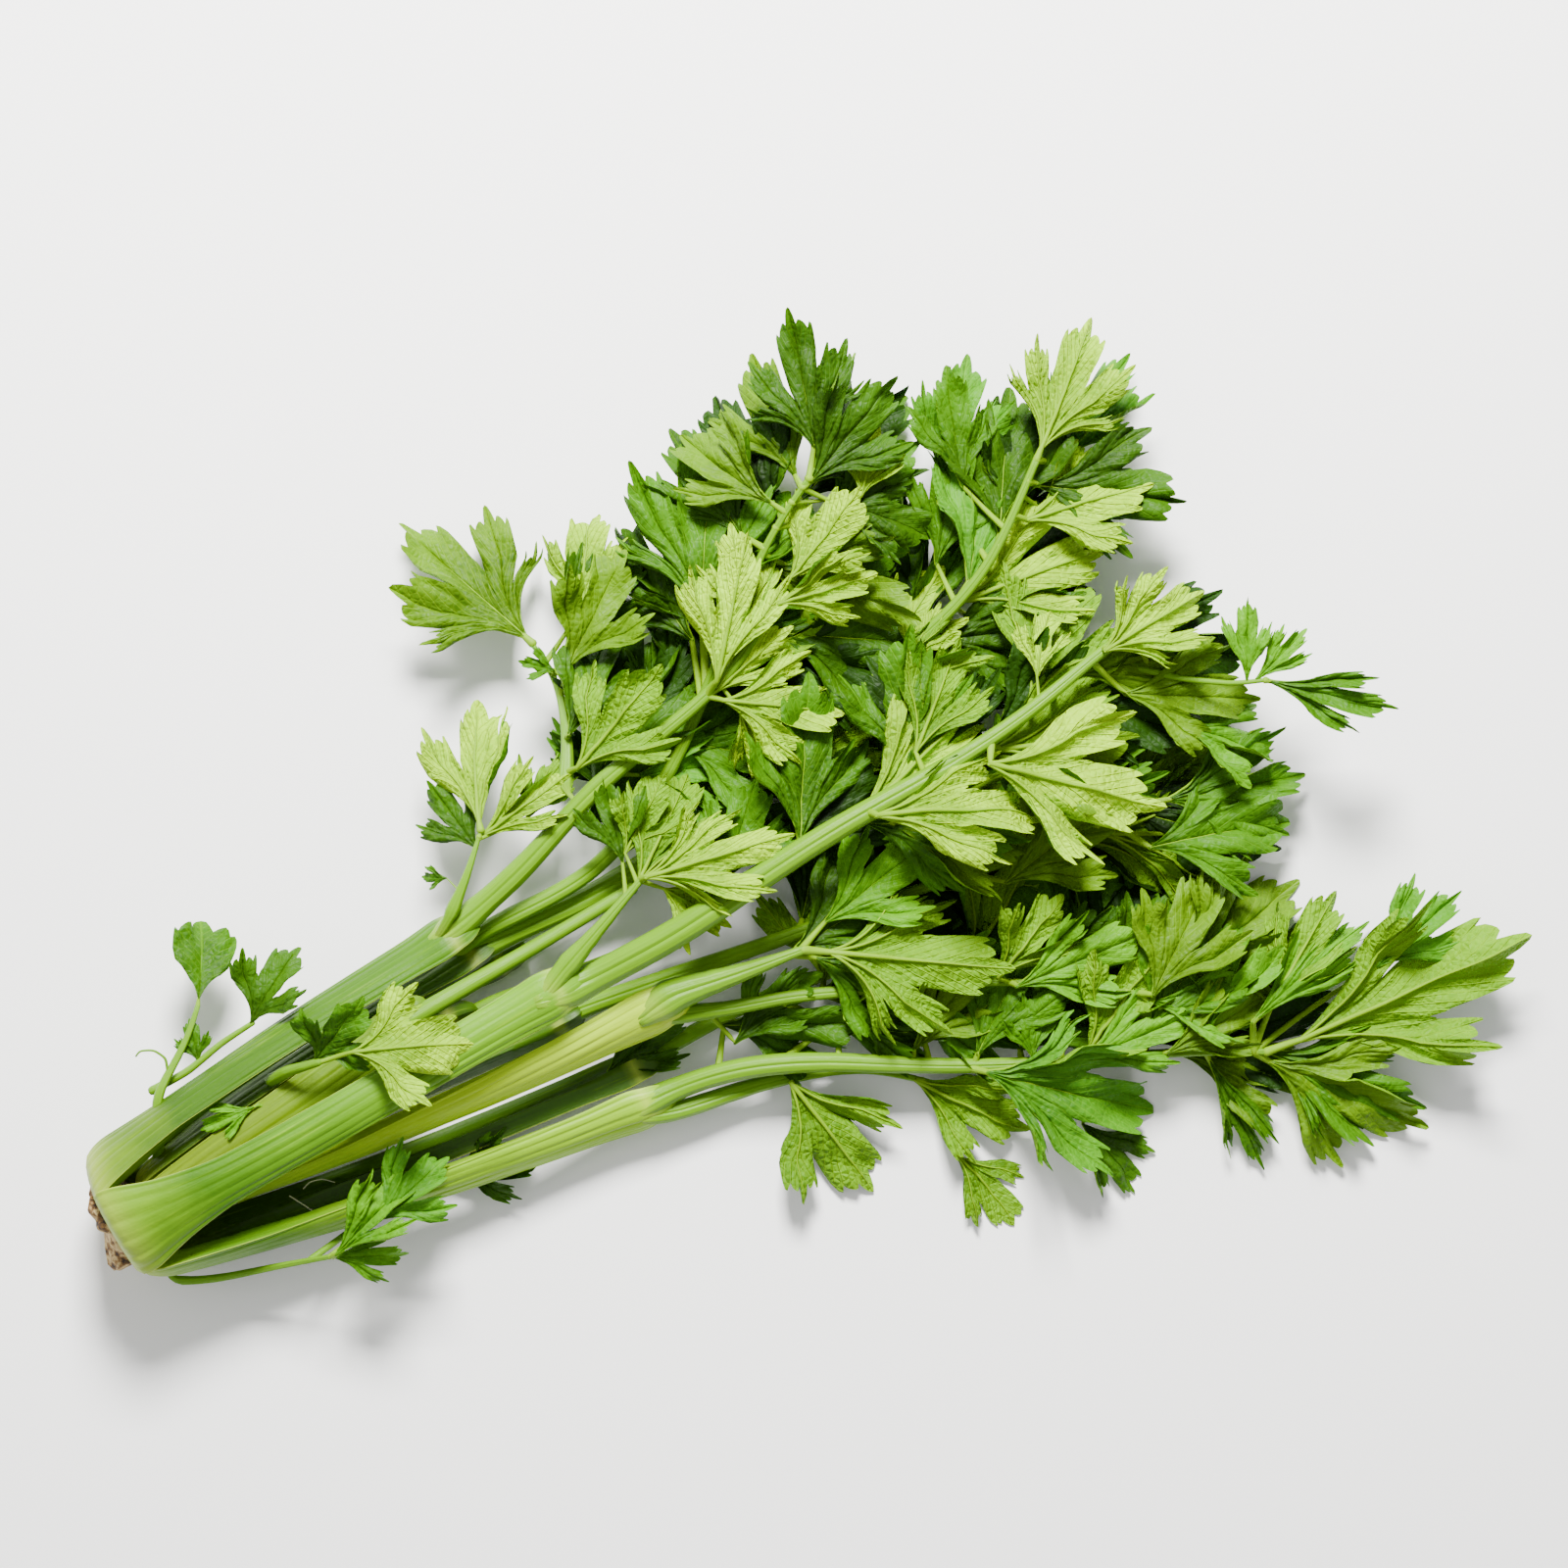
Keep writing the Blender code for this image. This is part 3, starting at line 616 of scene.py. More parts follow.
def leaf_surface(length, opening, lobes, noise, bend, fold):
    """Mid-surface of a blade in its own frame, its normals, and its rib coordinates."""
    walls, reaches, notches = lobe_table(lobes, noise)
    across, smooth_edge, edge, off = [], [], [], []
    for k in range(lobes):
        steps = TEETH_PER_LOBE * 2 * 3
        for j in range(steps + (k == lobes - 1)):
            u = 2 * j / steps - 1
            notch = notches[k] if u < 0 else notches[k + 1]
            bulge = 1 - abs(u) ** 3.0
            sublobes = SUBLOBE_HEIGHT * math.cos(3 * math.pi * u) * (1 - u**4)
            reach = notch + (reaches[k] - notch) * bulge + sublobes
            tooth = TOOTH_SHAPE[(int(round(abs(u) * steps / 2)) + 2) % len(TOOTH_SHAPE)]
            across.append(walls[k] + (walls[k + 1] - walls[k]) * j / steps)
            smooth_edge.append(reach)
            edge.append(reach + TOOTH_HEIGHT * (tooth - 0.55) * (1 - 0.4 * abs(u) ** 4))
            off.append(abs(u))
    across, off = np.array(across), np.array(off)
    smooth_edge, edge = np.array(smooth_edge), np.array(edge)
    off[np.abs(off) > 0.999] = 1
    s = (np.linspace(0.0, 1, BLADE_ROWS) ** 0.85)[:, None]
    s = 0.035 + 0.965 * s
    reach = s * (smooth_edge + (edge - smooth_edge) * s**3)
    spread = 0.46 + 0.76 * np.clip(reach / 0.55, 0, 1) ** 1.1
    angle = across * opening * spread
    x, y = reach * np.cos(angle), reach * np.sin(angle)
    # Ribs lie in valleys of the upper side, and the blade rises and puckers between them.
    hump = off[None, :] * reach
    z = 0.030 * np.minimum(hump / 0.25, 1) ** 0.6
    lean = reach - 0.55 * hump
    z = z + 0.006 * np.sin(2 * math.pi * 6.0 * lean) * np.minimum(hump / 0.2, 1)
    p = [noise.uniform(0, 2 * math.pi) for _ in range(8)]
    c = [noise.uniform(-1, 1) for _ in range(4)]
    z = z + 0.008 * np.sin(31 * x + p[0]) * np.sin(29 * y + p[1])
    z = z + 0.038 * np.sin(13 * x + p[2]) * np.sin(12 * y + p[3]) * s
    z = z + s**4 * (0.045 * np.sin(8 * across + p[4]) + 0.035 * np.sin(17 * across + p[5]))
    z = z + 0.16 * c[0] * reach * y + 0.14 * c[1] * y**2
    # Lobes tip their ends up or down.
    z = z + np.clip(s - 0.55, 0, 1) ** 1.5 * 0.22 * np.sin(4.2 * across + p[6])
    # The halves fold about the middle rib, and the blade bends along it.
    crease = np.sqrt(y**2 + 0.0016)
    flat_y, flat_z = y, z
    y = flat_y * math.cos(fold) - flat_z * math.sin(fold) * flat_y / crease
    z = flat_z * math.cos(fold) + crease * math.sin(fold)
    if abs(bend) > 1e-3:
        sine, cosine = np.sin(bend * x), np.cos(bend * x)
        x, z = sine / bend + z * sine, z * cosine - (1 - cosine) / bend
    surface = np.stack([x, y, z], axis=2) * length * BLADE_FIT
    across_way = np.gradient(surface, axis=1)
    along_way = np.gradient(surface, axis=0)
    normals = np.cross(along_way, across_way)
    normals /= np.maximum(norm(normals, axis=2)[..., None], 1e-9)
    rib_columns = [int((k + 0.5) * TEETH_PER_LOBE * 2 * 3) for k in range(lobes)]
    return surface, normals, off, reach, rib_columns


def settle(points):
    """Eases whatever would sink below the surface back onto it."""
    z = points[..., 2]
    low = FLOOR_GAP + SETTLE * np.exp(np.minimum(z - FLOOR_GAP - SETTLE, 0) / SETTLE)
    points[..., 2] = np.where(z < FLOOR_GAP + SETTLE, low, z)
    return points


def leaf_into(bm, name, base, heading, normal, length, opening, lobes, shows_under, stem_point):
    """Adds a toothed blade, its raised ribs and its leafstalk, back to the stem."""
    noise = random.Random(name)
    heading = np.array(heading) / norm(heading)
    normal = np.array(normal) - heading * np.dot(normal, heading)
    normal /= norm(normal)
    bend = noise.uniform(-0.15, 0.65)
    fold = noise.uniform(-0.10, 0.38)
    if shows_under:
        normal, bend, fold = -normal, -bend, -fold
    turn = np.stack([heading, np.cross(normal, heading), normal], axis=1)
    blade = leaf_surface(length, opening, lobes, noise, bend, fold)
    surface, normals, off, reach, rib_columns = blade
    placed = settle(surface @ turn.T + base)
    facing = -normals @ turn.T
    if np.sum(facing.reshape(-1, 3) @ normal) < 0:
        facing = -facing
    full = np.ones(placed.shape[:2])
    full[-1], full[:, 0], full[:, -1] = 0, 0, 0
    full[-2] = 0.75
    thick = full[..., None] * BLADE_THICKNESS / 2
    marks = np.stack(np.broadcast_arrays(off[None, :], reach), axis=2)
    grid_sheet(bm, placed + facing * thick, marks, 0)
    grid_sheet(bm, placed - facing * thick, marks, 1)
    # The leafstalk runs on as the middle rib, and a rib fans from it into each other lobe.
    last = int(BLADE_ROWS * BLADE_TIP)
    for k, column in enumerate(rib_columns):
        line = placed[:last, column] - facing[:last, column] * RIB_SINK
        thin = LEAFSTALK_RADIUS * min(1.1, length / 0.050)
        if k == lobes // 2:
            back = np.linspace(0, 1, 7)[:-1, None]
            sag = np.array((0, 0, -0.9)) * max(0, norm(line[0] - stem_point) - LEAFSTALK_REACH)
            leafstalk = stem_point + (line[0] - stem_point) * back + sag * back * (1 - back)
            line = np.vstack([settle(leafstalk), line])
            steps = (0, len(back), len(line) - 1)
            radii = np.interp(np.arange(len(line)), steps, (1.25 * thin, 0.8 * thin, 0.12 * thin))
        else:
            radii = np.linspace(0.45 * thin, 0.10 * thin, len(line))
        tube(bm, line, radii, 3, 0.0, 7, 2)


def cad_leaflet(name):
    """Where a leaflet node lies: base, heading, normal, length, half opening and lobe count.
    Its corners crowd together at the base, and a five-lobed one has more of them."""
    points = cad_points(name)
    gaps = norm(points[:, None] - points[None], axis=2)
    crowd = (gaps < BASE_CROWD).sum(axis=1)
    dense = points[crowd >= 0.7 * crowd.max()]
    triangles = cad_triangles(name)
    first, second = triangles[:, 1] - triangles[:, 0], triangles[:, 2] - triangles[:, 0]
    areas = norm(np.cross(first, second), axis=1)
    centroid = (triangles.mean(axis=1) * areas[:, None]).sum(axis=0) / areas.sum()
    distance = norm(dense - centroid, axis=1)
    base = dense[distance > distance.max() - 0.0012].mean(axis=0)
    heading = centroid - base
    heading /= norm(heading)
    normal = np.linalg.svd(points - points.mean(axis=0), full_matrices=False)[2][2]
    if normal[2] < 0:
        normal = -normal
    normal -= heading * (normal @ heading)
    normal /= norm(normal)
    side = np.cross(normal, heading)
    reach = points - base
    length = norm(reach, axis=1).max()
    far = reach[norm(reach, axis=1) > 0.35 * length]
    opening = np.abs(np.arctan2(far @ side, far @ heading)).max()
    lobes = 5 if len(points) > FIVE_LOBE_POINTS else 3
    return base, heading, normal, length, opening, lobes


def point_along(name, share):
    """The point at this share of a stem's length, from its thick end."""
    route = routes[name]
    length = lengths_along(route)
    return np.array([np.interp(share * length[-1], length, route[:, i]) for i in range(3)])


def leaf_materials(look):
    """Upper side, under side and ribs of a leaflet whose visible side has this look."""
    if look in LEAF_UNDERS:
        return [LEAF_TOPS["mid"], LEAF_UNDERS[look], RIB_SKIN]
    return [LEAF_TOPS[look], LEAF_UNDERS["soft"], RIB_SKIN]


# Leaflets that show another shade than their side's usual one.
LOOKS = {
    "left_high_tip": "olive", "left_high_mid": "dark", "left_high_low": "soft", "left_under_mid": "dark",
    "left_under_tip": "dark", "left_under_side": "dark", "top_short_left": "soft", "left_inner_l1": "blue",
    "top_main_r3": "olive", "middle_under_tip": "mid", "middle_under_r": "soft", "right_inner_r": "soft",
    "right_inner_l": "dark", "right_inner_tip": "olive", "right_main_tip": "soft", "right_main_low": "mid",
    "right_main_mid": "blue", "right_short": "soft", "shoot_left": "mid", "shoot_right": "bright",
}
# Leaflets that curl to one side or draw up: degrees turned and share of full length.
TURNS = {"left_under_tip": (18, 0.84), "left_high_tip": (0, 0.93), "left_inner_tip": (0, 0.93)}
# Young leaflets that aren't cut into lobes yet.
WHOLE_BLADES = {"shoot_left": 1}
# Smaller leaflets by stem: share along it, the base's offset from it in mm, heading and pitch in
# degrees, length in mm, half opening in degrees, and the shade that shows.
SMALL_LEAVES = {
    "stem_left_high": (
        (0.75, (17, 10, 0), 67, 0, 41, 30, "pale"), (0.85, (9, 5, -2), 21, 5, 38, 34, "dark"),
        (0.80, (2, -2, 3), 138, 10, 14, 34, "mid"), (0.62, (5, 6, 2), 36, 0, 44, 38, "olive"),
    ),
    "stem_left_short": (
        (0.80, (0, -1, -8), 99, -10, 28, 36, "dark"), (0.90, (16, -2, -4), 43, 0, 26, 36, "soft"),
        (0.30, (-2, 6, -6), 150, -20, 10, 34, "mid"),
    ),
    "stem_left_under": (
        (0.80, (10, 12, -12), 73, 0, 40, 38, "dark"), (0.95, (20, -9, -4), 49, 10, 24, 36, "pale"),
        (0.45, (6, 12, -8), 62, -5, 38, 36, "dark"), (0.62, (10, 6, -6), 30, 0, 40, 36, "blue"),
        (0.93, (-2, 4, 1), 118, -4, 40, 34, "olive"), (0.86, (-4, 6, -5), 96, -4, 46, 34, "dark"),
        (0.98, (2, 0, 0), 24, 0, 44, 34, "dark"), (0.90, (14, -4, -8), 8, 0, 40, 36, "mid"),
        (0.98, (0, 4, -10), 82, -6, 46, 40, "olive"), (0.98, (6, -8, -6), -40, -4, 36, 36, "dark"),
        (0.85, (4, -6, -6), -20, -4, 40, 36, "mid"), (0.60, (9, 20, 3), 61, 0, 64, 44, "mid"),
        (0.58, (7, 18, -6), 102, -2, 50, 36, "dark"), (0.30, (3, 8, -6), 66, -4, 46, 38, "mid"),
    ),
    "stem_left_main": (
        (0.98, (-3, -2, 2), -12, 0, 36, 30, "pale"), (0.75, (2, -10, 1), -99, -20, 28, 26, "pale"),
        (0.70, (4, 0, 2), 13, -5, 34, 30, "pale"), (0.85, (2, 4, 1), 70, 0, 34, 34, "pale"),
        (0.45, (6, -4, -8), -20, -10, 36, 36, "blue"), (0.30, (4, -4, -8), 12, -4, 44, 36, "dark"),
    ),
    "stem_top_short": (
        (0.98, (5, -5, 0), -58, -20, 30, 46, "pale"), (0.95, (0, 10, -5), 36, -5, 28, 40, "soft"),
        (0.80, (4, 10, -6), 75, 0, 30, 36, "dark"),
    ),
    "stem_left_inner": (
        (0.85, (-2, 32, -12), 45, 0, 42, 36, "blue"), (1.00, (7, -5, -14), 35, 0, 48, 40, "blue"),
        (0.95, (3, -6, -9), 3, -5, 33, 32, "dark"), (0.70, (-4, -5, 3), 41, 5, 24, 36, "pale"),
        (0.60, (0, 0, 8), -11, 0, 48, 26, "soft"), (0.45, (4, -6, 6), 15, 5, 40, 30, "soft"),
        (0.90, (-6, 18, -4), 70, 0, 38, 34, "mid"), (0.78, (0, 14, -6), 52, 0, 40, 34, "mid"),
        (0.72, (2, -2, -6), -24, -4, 40, 36, "dark"), (0.55, (2, -4, -6), -30, -6, 40, 36, "mid"),
        (0.32, (2, -4, -6), -14, -4, 44, 36, "dark"), (0.35, (2, 8, -4), 40, 0, 46, 38, "olive"),
        (0.25, (2, 5, -6), 64, 0, 44, 38, "dark"),
    ),
    "stem_top_main": (
        (0.80, (3, 7, -2), 57, 0, 24, 34, "pale"), (0.70, (2, -4, -6), -20, -6, 56, 30, "soft"),
        (0.98, (-2, -33, -8), -39, -5, 38, 34, "bright"), (0.60, (0, 8, -8), 38, 0, 42, 32, "soft"),
        (0.90, (4, -14, -8), -30, -8, 46, 36, "olive"), (0.52, (0, -8, -10), -32, -4, 50, 36, "olive"),
        (0.25, (2, 5, -8), 42, -2, 38, 36, "mid"),
    ),
    "stem_right_inner_long": (
        (0.98, (2, -3, 4), 37, 0, 46, 38, "olive"), (0.70, (-4, 3, 5), 23, 5, 36, 34, "soft"),
        (0.70, (0, -2, 4), -5, 0, 46, 30, "bright"), (0.95, (0, -1, -4), 33, -5, 40, 36, "dark"),
        (0.98, (0, -3, 1), -34, -5, 40, 30, "bright"), (0.05, (2, -14, -8), 17, -5, 36, 34, "dark"),
        (0.30, (2, -4, -6), -30, -8, 44, 36, "dark"), (0.45, (2, -4, -5), -36, -8, 42, 36, "mid"),
        (0.20, (8, -12, -8), -24, -4, 46, 32, "mid"),
    ),
    "stem_right_main": (
        (0.98, (2, 9, 8), 17, 0, 54, 16, "bright"), (0.98, (46, 6, 6), 14, 5, 40, 30, "blue"),
        (0.90, (0, -2, -3), -90, -3, 43, 16, "mid"), (0.70, (-10, -18, -8), -73, 0, 32, 32, "dark"),
        (0.62, (0, 1, 3), 72, 5, 22, 34, "mid"), (0.80, (4, 6, 4), 30, 6, 46, 36, "mid"),
        (0.90, (4, 6, 6), 48, 4, 42, 34, "bright"), (0.98, (2, -4, -3), -52, -4, 56, 36, "olive"),
        (0.98, (10, 10, 6), 34, 4, 46, 28, "soft"), (0.52, (2, 2, 2), 38, 5, 46, 36, "mid"),
        (0.70, (2, 2, 3), 30, 4, 44, 38, "soft"), (0.60, (0, 4, -4), 12, 0, 50, 36, "dark"),
        (0.78, (0, 2, -3), 58, 2, 40, 36, "dark"), (0.68, (2, -1, 5), -4, 4, 42, 28, "bright"),
        (0.82, (2, -1, 5), 2, 2, 40, 28, "olive"), (0.10, (8, 14, 0), -26, -2, 46, 34, "dark"),
        (0.20, (22, 4, -2), -27, -4, 46, 34, "dark"), (0.45, (2, 13, -2), -30, -4, 42, 34, "mid"),
        (0.30, (2, 6, -2), 18, 0, 44, 34, "dark"), (0.42, (2, 4, 0), 26, 2, 40, 34, "olive"),
    ),
    "stem_right_short": (
        (0.98, (-3, 3, 0), -56, -2, 44, 30, "soft"), (0.98, (-2, -26, -3), -70, 0, 32, 32, "soft"),
    ),
    "stem_right_inner_short": (
        (0.90, (6, -4, -8), -52, -10, 44, 34, "mid"), (0.98, (10, 4, -6), 10, 0, 46, 36, "bright"),
    ),
    "stem_middle_under": (
        (0.70, (8, -8, 6), 10, 5, 46, 38, "olive"), (0.85, (4, 10, 6), 20, 5, 50, 36, "mid"),
        (0.95, (6, -14, 2), -14, 0, 50, 36, "mid"),
    ),
}
# Near-black leaves in the shade look, low in the pile as painted shadow between the leaves, from each stem:
# shares along it and headings in degrees.
DEEP_LEAVES = {
    "stem_left_under": ((0.35, 80), (0.55, 55), (0.75, 20), (0.90, 95), (0.95, 20)),
    "stem_left_inner": ((0.35, 20), (0.50, 55), (0.62, -30), (0.72, 75), (0.80, 5), (0.88, 40)),
    "stem_left_main": ((0.50, 70), (0.65, 20), (0.85, -40)),
    "stem_top_main": ((0.35, 25), (0.48, -25), (0.60, 60), (0.70, 10), (0.82, -45), (0.92, -30)),
    "stem_middle_under": ((0.45, 25), (0.60, -30), (0.72, 40), (0.85, -15), (0.95, 20), (0.98, -45)),
    "stem_right_inner_long": ((0.30, 10), (0.45, 35), (0.60, -20), (0.80, 15), (0.90, 45), (0.98, -10)),
    "stem_right_main": ((0.72, 20), (0.85, -10), (0.92, 30)),
}
# Leaflets longer than this, in mm, and wider, in degrees, have five lobes.
LONG_LEAFLET = 47
WIDE_LEAFLET = 39
# The way most stems point, in degrees.
STEM_HEADING = 8
# Stems with leaflets all along them, low in the pile: first share, last share and spacing.
FILLED_STEMS = {
    "stem_left_under": (0.40, 0.90, 0.14),
    "stem_left_main": (0.40, 0.95, 0.16),
    "stem_left_inner": (0.32, 0.98, 0.09),
    "stem_top_main": (0.38, 0.84, 0.10),
    "stem_middle_under": (0.40, 0.98, 0.10),
    "stem_right_inner_long": (0.30, 0.98, 0.14),
    "stem_right_main": (0.66, 0.96, 0.16),
}
slots = {row["node"]: row["material_slot"] for row in frame["record"]["subparts"]}
# Filled in as pieces are built: stem routes, stalks' last middles, and spots a little before those.
routes = {}
ends = {}
depths = {}
for name in [n for n in frame["nodes"] if n.startswith("stalk_") and n != "stalk_heart"]:
    build_stalk(name)


def nearest_end(name):
    """The knuckle that a stem starts from: the nearest one to any of its points."""
    points = cad_points(name)
    gaps = {key: norm(points - end, axis=1).min() for key, end in ends.items()}
    return depths[min(gaps, key=gaps.get)]


for name in [n for n in frame["nodes"] if n.startswith("stem_") and n not in ("stem_base", "stem_left_high")]:
    build_stem(name, nearest_end(name))
fork = routes["stem_left_main"]
high = cad_points("stem_left_high")
start = fork[norm(fork[:, None] - high[None], axis=2).min(axis=1).argmin()]
build_stem("stem_left_high", start)
heel = BASE_CENTRE + np.array((0.012, 0, 0))
for name, slot in (("shoot_left", "shoot"), ("shoot_right", "shoot"), ("stalk_heart", "heart")):
    build_stem(name, heel, slot)

for name in [n for n in frame["nodes"] if n.startswith("leaflet_")]:
    base, heading, normal, length, opening, lobes = cad_leaflet(name)
    lobes = WHOLE_BLADES.get(name.removeprefix("leaflet_"), lobes)
    swing, size = TURNS.get(name.removeprefix("leaflet_"), (0, 1))
    heading = np.array(Matrix.Rotation(math.radians(swing), 3, Vector(normal)) @ Vector(heading))
    length *= size
    nearest = min((norm(route - base, axis=1).min(), key) for key, route in routes.items())[1]
    route = routes[nearest]
    stem_point = route[norm(route - base, axis=1).argmin()]
    shows_under = slots[name] == "leaf_underside"
    look = LOOKS.get(name.removeprefix("leaflet_"), "pale" if shows_under else "mid")
    bm = new_sheet()
    leaf_into(bm, name, base, heading, normal, length, opening, lobes, shows_under, stem_point)
    piece = finish_piece(name + "_blade", bm, leaf_materials(look))
    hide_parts(name)


def height_over(spot):
    """The height of the highest stalk surface over a spot."""
    heights = [0.0]
    for name in (n for n in frame["nodes"] if n.startswith("stalk_")):
        corners = cad_triangles(name)
        a, b, c = (corners[:, i, :2] for i in range(3))
        p = spot[:2]
        area = np.cross(b - a, c - a)
        keep = np.abs(area) > 1e-12
        u = np.cross(b[keep] - p, c[keep] - p) / area[keep]
        v = np.cross(c[keep] - p, a[keep] - p) / area[keep]
        w = 1 - u - v
        inside = (u >= 0) & (v >= 0) & (w >= 0)
        z = corners[keep][:, :, 2]
        heights.extend((u * z[:, 0] + v * z[:, 1] + w * z[:, 2])[inside])
    return max(heights)


def direction(heading, pitch):
    """The unit vector at this heading and pitch, in degrees."""
    turn, lift = math.radians(heading), math.radians(pitch)
    return np.array((math.cos(turn) * math.cos(lift), math.sin(turn) * math.cos(lift), math.sin(lift)))


def small_leaves(rows):
    """One piece for each stem and shade, holding all of that shade's leaflets on it."""
    groups = {}
    for row in rows:
        groups.setdefault((row[0], row[-1]), []).append(row)
    for (stem, look), members in groups.items():
        bm = new_sheet()
        for share, offset, heading, pitch, length, opening in (row[1:-1] for row in members):
            lobes = 5 if length > LONG_LEAFLET and opening > WIDE_LEAFLET else 3
            label = f"{stem}{share}{heading}{look}"
            noise = random.Random(label)
            spot = point_along(stem, share)
            base = spot + np.array(offset) / 1000
            roll = math.radians(noise.uniform(-24, 24))
            way = direction(heading, pitch)
            side = np.cross((0, 0, 1), way)
            normal = np.array((0, 0, 1)) * math.cos(roll) + side * math.sin(roll)
            under = look in LEAF_UNDERS
            leaf_into(bm, label, base, way, normal, length / 1000, math.radians(opening), lobes, under, spot)
        piece = finish_piece(f"{stem}_{look}_leaves", bm, leaf_materials(look))


small_leaves([(stem, *row) for stem, rows in SMALL_LEAVES.items() for row in rows])
deep = []
for stem, (first, last, spacing) in FILLED_STEMS.items():
    noise = random.Random(stem)
    share, side = first, 1
    while share < last:
        heading = STEM_HEADING + side * noise.uniform(18, 62)
        drop = -min(noise.uniform(5, 13), 1000 * point_along(stem, share)[2] * 0.5)
        look = noise.choice(("soft", "mid", "olive", "mid", "dark", "bright"))
        length = noise.uniform(44, 58)
        deep.append((stem, round(share, 3), (2, 2 * side, drop), heading, -3, length, 38, look))
        share, side = share + spacing * noise.uniform(0.8, 1.2), -side
# Painted shadow: near-black leaves in the shade look, low between the others.
for stem, places in DEEP_LEAVES.items():
    for share, heading in places:
        drop = -min(14, 1000 * point_along(stem, share)[2] * 0.55)
        deep.append((stem, share, (2, 0, drop), heading, -4, 50, 38, "shade"))
small_leaves(deep)


def loose_stem(name, start, offsets, radius, material, slot):
    """A thin stem through offsets in mm from a point on another stem."""
    route = start + np.array(offsets) / 1000
    radii = np.linspace(radius, 0.6 * radius, len(route))
    smooth, thick, _ = resample(route, radii, 24)
    routes[name] = smooth
    bm = new_sheet()
    tube(bm, smooth, thick, 7, 0.08, 14)
    piece = finish_piece(name, bm, [material])


for name, offsets in (
    ("stalk_left_under", ((-6, 0, 0), (14, 3, 0), (40, 4, 2), (70, 6, 4))),
    ("stalk_inner_under", ((-6, 0, 0), (14, 0, 0), (42, -4, 0), (80, -8, 2))),
    ("stalk_top_inner", ((-6, 0, 0), (16, 1, -2), (44, 2, -6), (84, 4, -8))),
    ("stalk_right_under", ((-6, 0, 0), (14, 2, 0), (40, 2, -1), (74, -2, -2))),
):
    loose_stem(name.replace("stalk", "stem") + "_far", ends[name], offsets, 0.0034, STEM_SKIN, "stem")

heart_spot = BASE_CENTRE + np.array((0.078, 0.014, 0))
under_tip = heart_spot + np.array((0.03, -0.014, 0))
heart_spot[2] = max(height_over(heart_spot), height_over(under_tip)) + 0.001
bud_spot = BASE_CENTRE + np.array((0.054, 0.011, 0))
bud_spot[2] = height_over(bud_spot) + 0.0016
hairs = BASE_CENTRE + np.array((0.050, -0.026, 0))
hairs[2] = height_over(hairs) + 0.0002
# Name, start, offsets from it in mm, radius, material and slot.
for row in (
    ("heart_leafstalk", heart_spot, ((-16, 2, -14), (-9, 2, -6), (-3, 1, -1), (2, 0, 1)),
     0.0022, STEM_SKIN, "stem"),
    ("heart_bud", bud_spot, ((3, -1, -3), (2, -1, -1.5), (1, 0, -0.5), (0, 0, 0)),
     0.0008, STEM_SKIN, "stem"),
    ("low_shoot", point_along("shoot_right", 0.85), ((0, 0, -2), (16, 2, -14), (32, 5, -20), (50, 3, -20)),
     0.0012, STEM_SKIN, "shoot"),
    ("root_hair_long", hairs, ((-3, 6, 0), (0, 1, 1), (3, -5, 0), (7, -9, -2)),
     0.00025, HAIR, "stem_base"),
    ("root_hair_short", hairs, ((2, 6, 0), (5, 7, 1), (9, 6, 1), (12, 3, 0)),
     0.0002, HAIR, "stem_base"),
    ("shoot_mid", point_along("shoot_left", 0.30), ((-9, -3, -4), (4, -3, -4), (18, 0, -4), (30, 1, -3)),
     0.0015, STEM_SKIN, "shoot"),
    ("shoot_curl", point_along("shoot_left", 0.25),
     ((0, 0, 0), (2, 5, 1), (0, 9, 2), (-4, 11, 3), (-6, 10, 2)), 0.0005, STEM_SKIN, "shoot"),
    ("sprig", point_along("stem_top_main", 1.0), ((-10, -10, -6), (4, -22, -2), (16, -30, 3), (26, -34, 5)),
     0.0012, STEM_SKIN, "stem"),
):
    loose_stem(*row)
small_leaves((
    ("heart_leafstalk", 0.98, (11, -2, 5), -20, 4, 38, 48, "pale"),
    ("shoot_right", 0.98, (0, 0, 0), -28, -6, 25, 28, "bright"),
    ("shoot_right", 0.98, (18, 3, 3), 14, 3, 34, 36, "blue"),
    ("low_shoot", 0.98, (0, 0, 0), -16, 4, 34, 34, "dark"),
    ("stem_right_under_far", 0.05, (-8, 3, 4), 14, 4, 34, 32, "dark"),
    ("heart_bud", 0.98, (0, 0, 0), 176, 2, 19, 26, "bright"),
    ("heart_leafstalk", 0.95, (0, 1, 0), 22, 18, 26, 56, "mid"),
    ("shoot_mid", 0.98, (0, 0, 0), 34, 10, 30, 46, "dark"),
    ("shoot_mid", 0.45, (0, 0, 0), 75, 5, 14, 40, "mid"),
    ("sprig", 0.85, (0, 0, 0), 62, 10, 26, 26, "bright"),
    ("sprig", 0.90, (0, 0, 0), 16, 10, 24, 22, "bright"),
    ("sprig", 0.98, (0, 0, 0), -42, 4, 42, 18, "mid"),
))


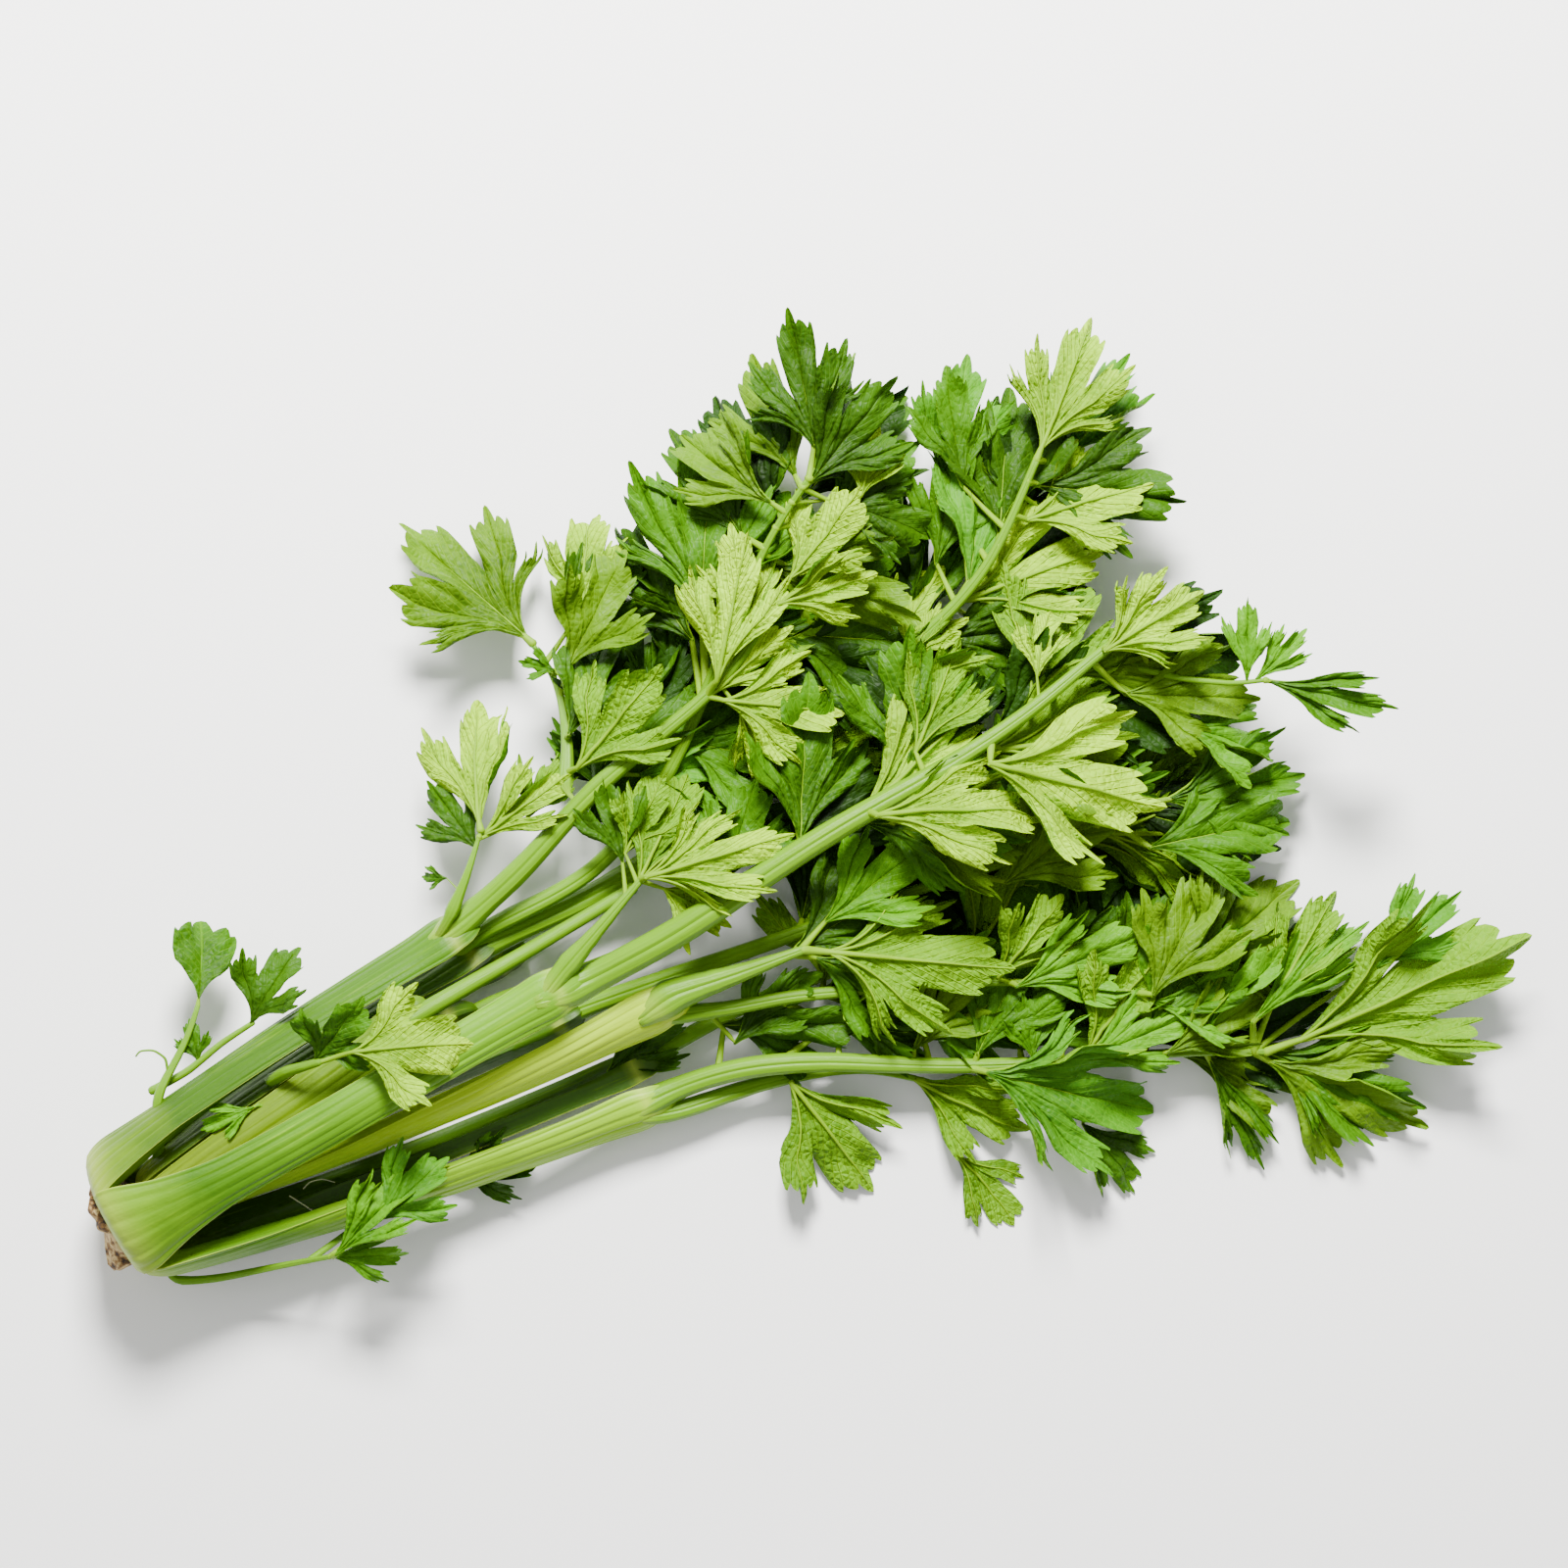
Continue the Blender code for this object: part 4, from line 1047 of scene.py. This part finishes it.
def build_root():
    """The root stub: a corky plug, rough on its cut face, with a knob on its right side."""
    # Depth from the cut face, and share of the full radius.
    profile = ((0.000, 0.0), (0.0003, 0.45), (0.0012, 0.80), (0.0032, 0.97),
               (0.0060, 1.0), (0.0110, 0.96), (0.0110, 0.0))
    places, marks = [], []
    for depth, wide in profile:
        row = []
        for j in range(ROOT_COLUMNS + 1):
            angle = 2 * math.pi * (j % ROOT_COLUMNS) / ROOT_COLUMNS
            rough = 1 + 0.035 * math.sin(7 * angle + 300 * depth) + 0.03 * math.sin(17 * angle)
            lump = 0.0016 * math.sin(3 * angle + 1) * wide + 0.0009 * math.sin(11 * angle) * wide
            knob = 0.0055 * max(0, math.cos(angle - math.radians(200))) * wide * (depth < 0.01)
            x = ROOT_X + depth - 0.0030 + (lump - knob) * (depth < 0.006)
            out = ROOT_RADIUS * wide * rough
            row.append((x, BASE_CENTRE[1] + out * math.cos(angle), BASE_CENTRE[2] + out * math.sin(angle)))
        places.append(row)
        marks.append([(j / ROOT_COLUMNS, depth) for j in range(ROOT_COLUMNS + 1)])
    bm = new_sheet()
    grid_sheet(bm, np.array(places), np.array(marks))
    piece = finish_piece("root_stub", bm, [ROOT_CORK])
    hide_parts("stem_base")


build_root()


# ---------------------------------------------------------------- floor, light and camera
def studio():
    bm = bmesh.new()
    bmesh.ops.create_grid(bm, x_segments=1, y_segments=1, size=4)
    mesh = bpy.data.meshes.new("floor")
    bm.to_mesh(mesh)
    bm.free()
    floor = add_object("floor", mesh)
    material, tree, shader = new_material("white_paper")
    plug(tree, shader, {"Base Color": colour("#F7F7F6"), "Roughness": 0.9})
    mesh.materials.append(material)
    world = bpy.data.worlds.new("studio")
    bpy.context.scene.world = world
    world.use_nodes = True
    sky = world.node_tree.nodes["Background"]
    plug(world.node_tree, sky, {"Color": colour("#FFFFFF"), "Strength": 0.64})
    for label, place, size, power in (
        ("key", (0.38, 0.79, 0.95), 0.35, 76),
        ("fill", (-1.0, 0.6, 1.5), 1.6, 7),
    ):
        lamp = bpy.data.lights.new(label, "AREA")
        lamp.energy = power
        lamp.size = size
        lamp.color = (1, 0.99, 0.97)
        light = add_object(label, lamp)
        light.location = place
        light.rotation_euler = Vector(place).to_track_quat("Z", "Y").to_euler()


VIEW_HEIGHT = 1.5
VIEW_WIDTH = 0.503
MIDDLE_HEIGHT = 0.028
VIEW_MIDDLE = BASE_CENTRE + np.array((0.2508, 0.0226, 0))
VIEW_TURN = math.radians(-28)


def camera():
    lens = bpy.data.cameras.new("camera")
    lens.sensor_width = 36
    lens.lens = 36 * (VIEW_HEIGHT - MIDDLE_HEIGHT) / VIEW_WIDTH
    eye = add_object("camera", lens)
    eye.location = (VIEW_MIDDLE[0], VIEW_MIDDLE[1], VIEW_HEIGHT)
    eye.rotation_euler = (0, 0, VIEW_TURN)
    bpy.context.scene.camera = eye


studio()
camera()
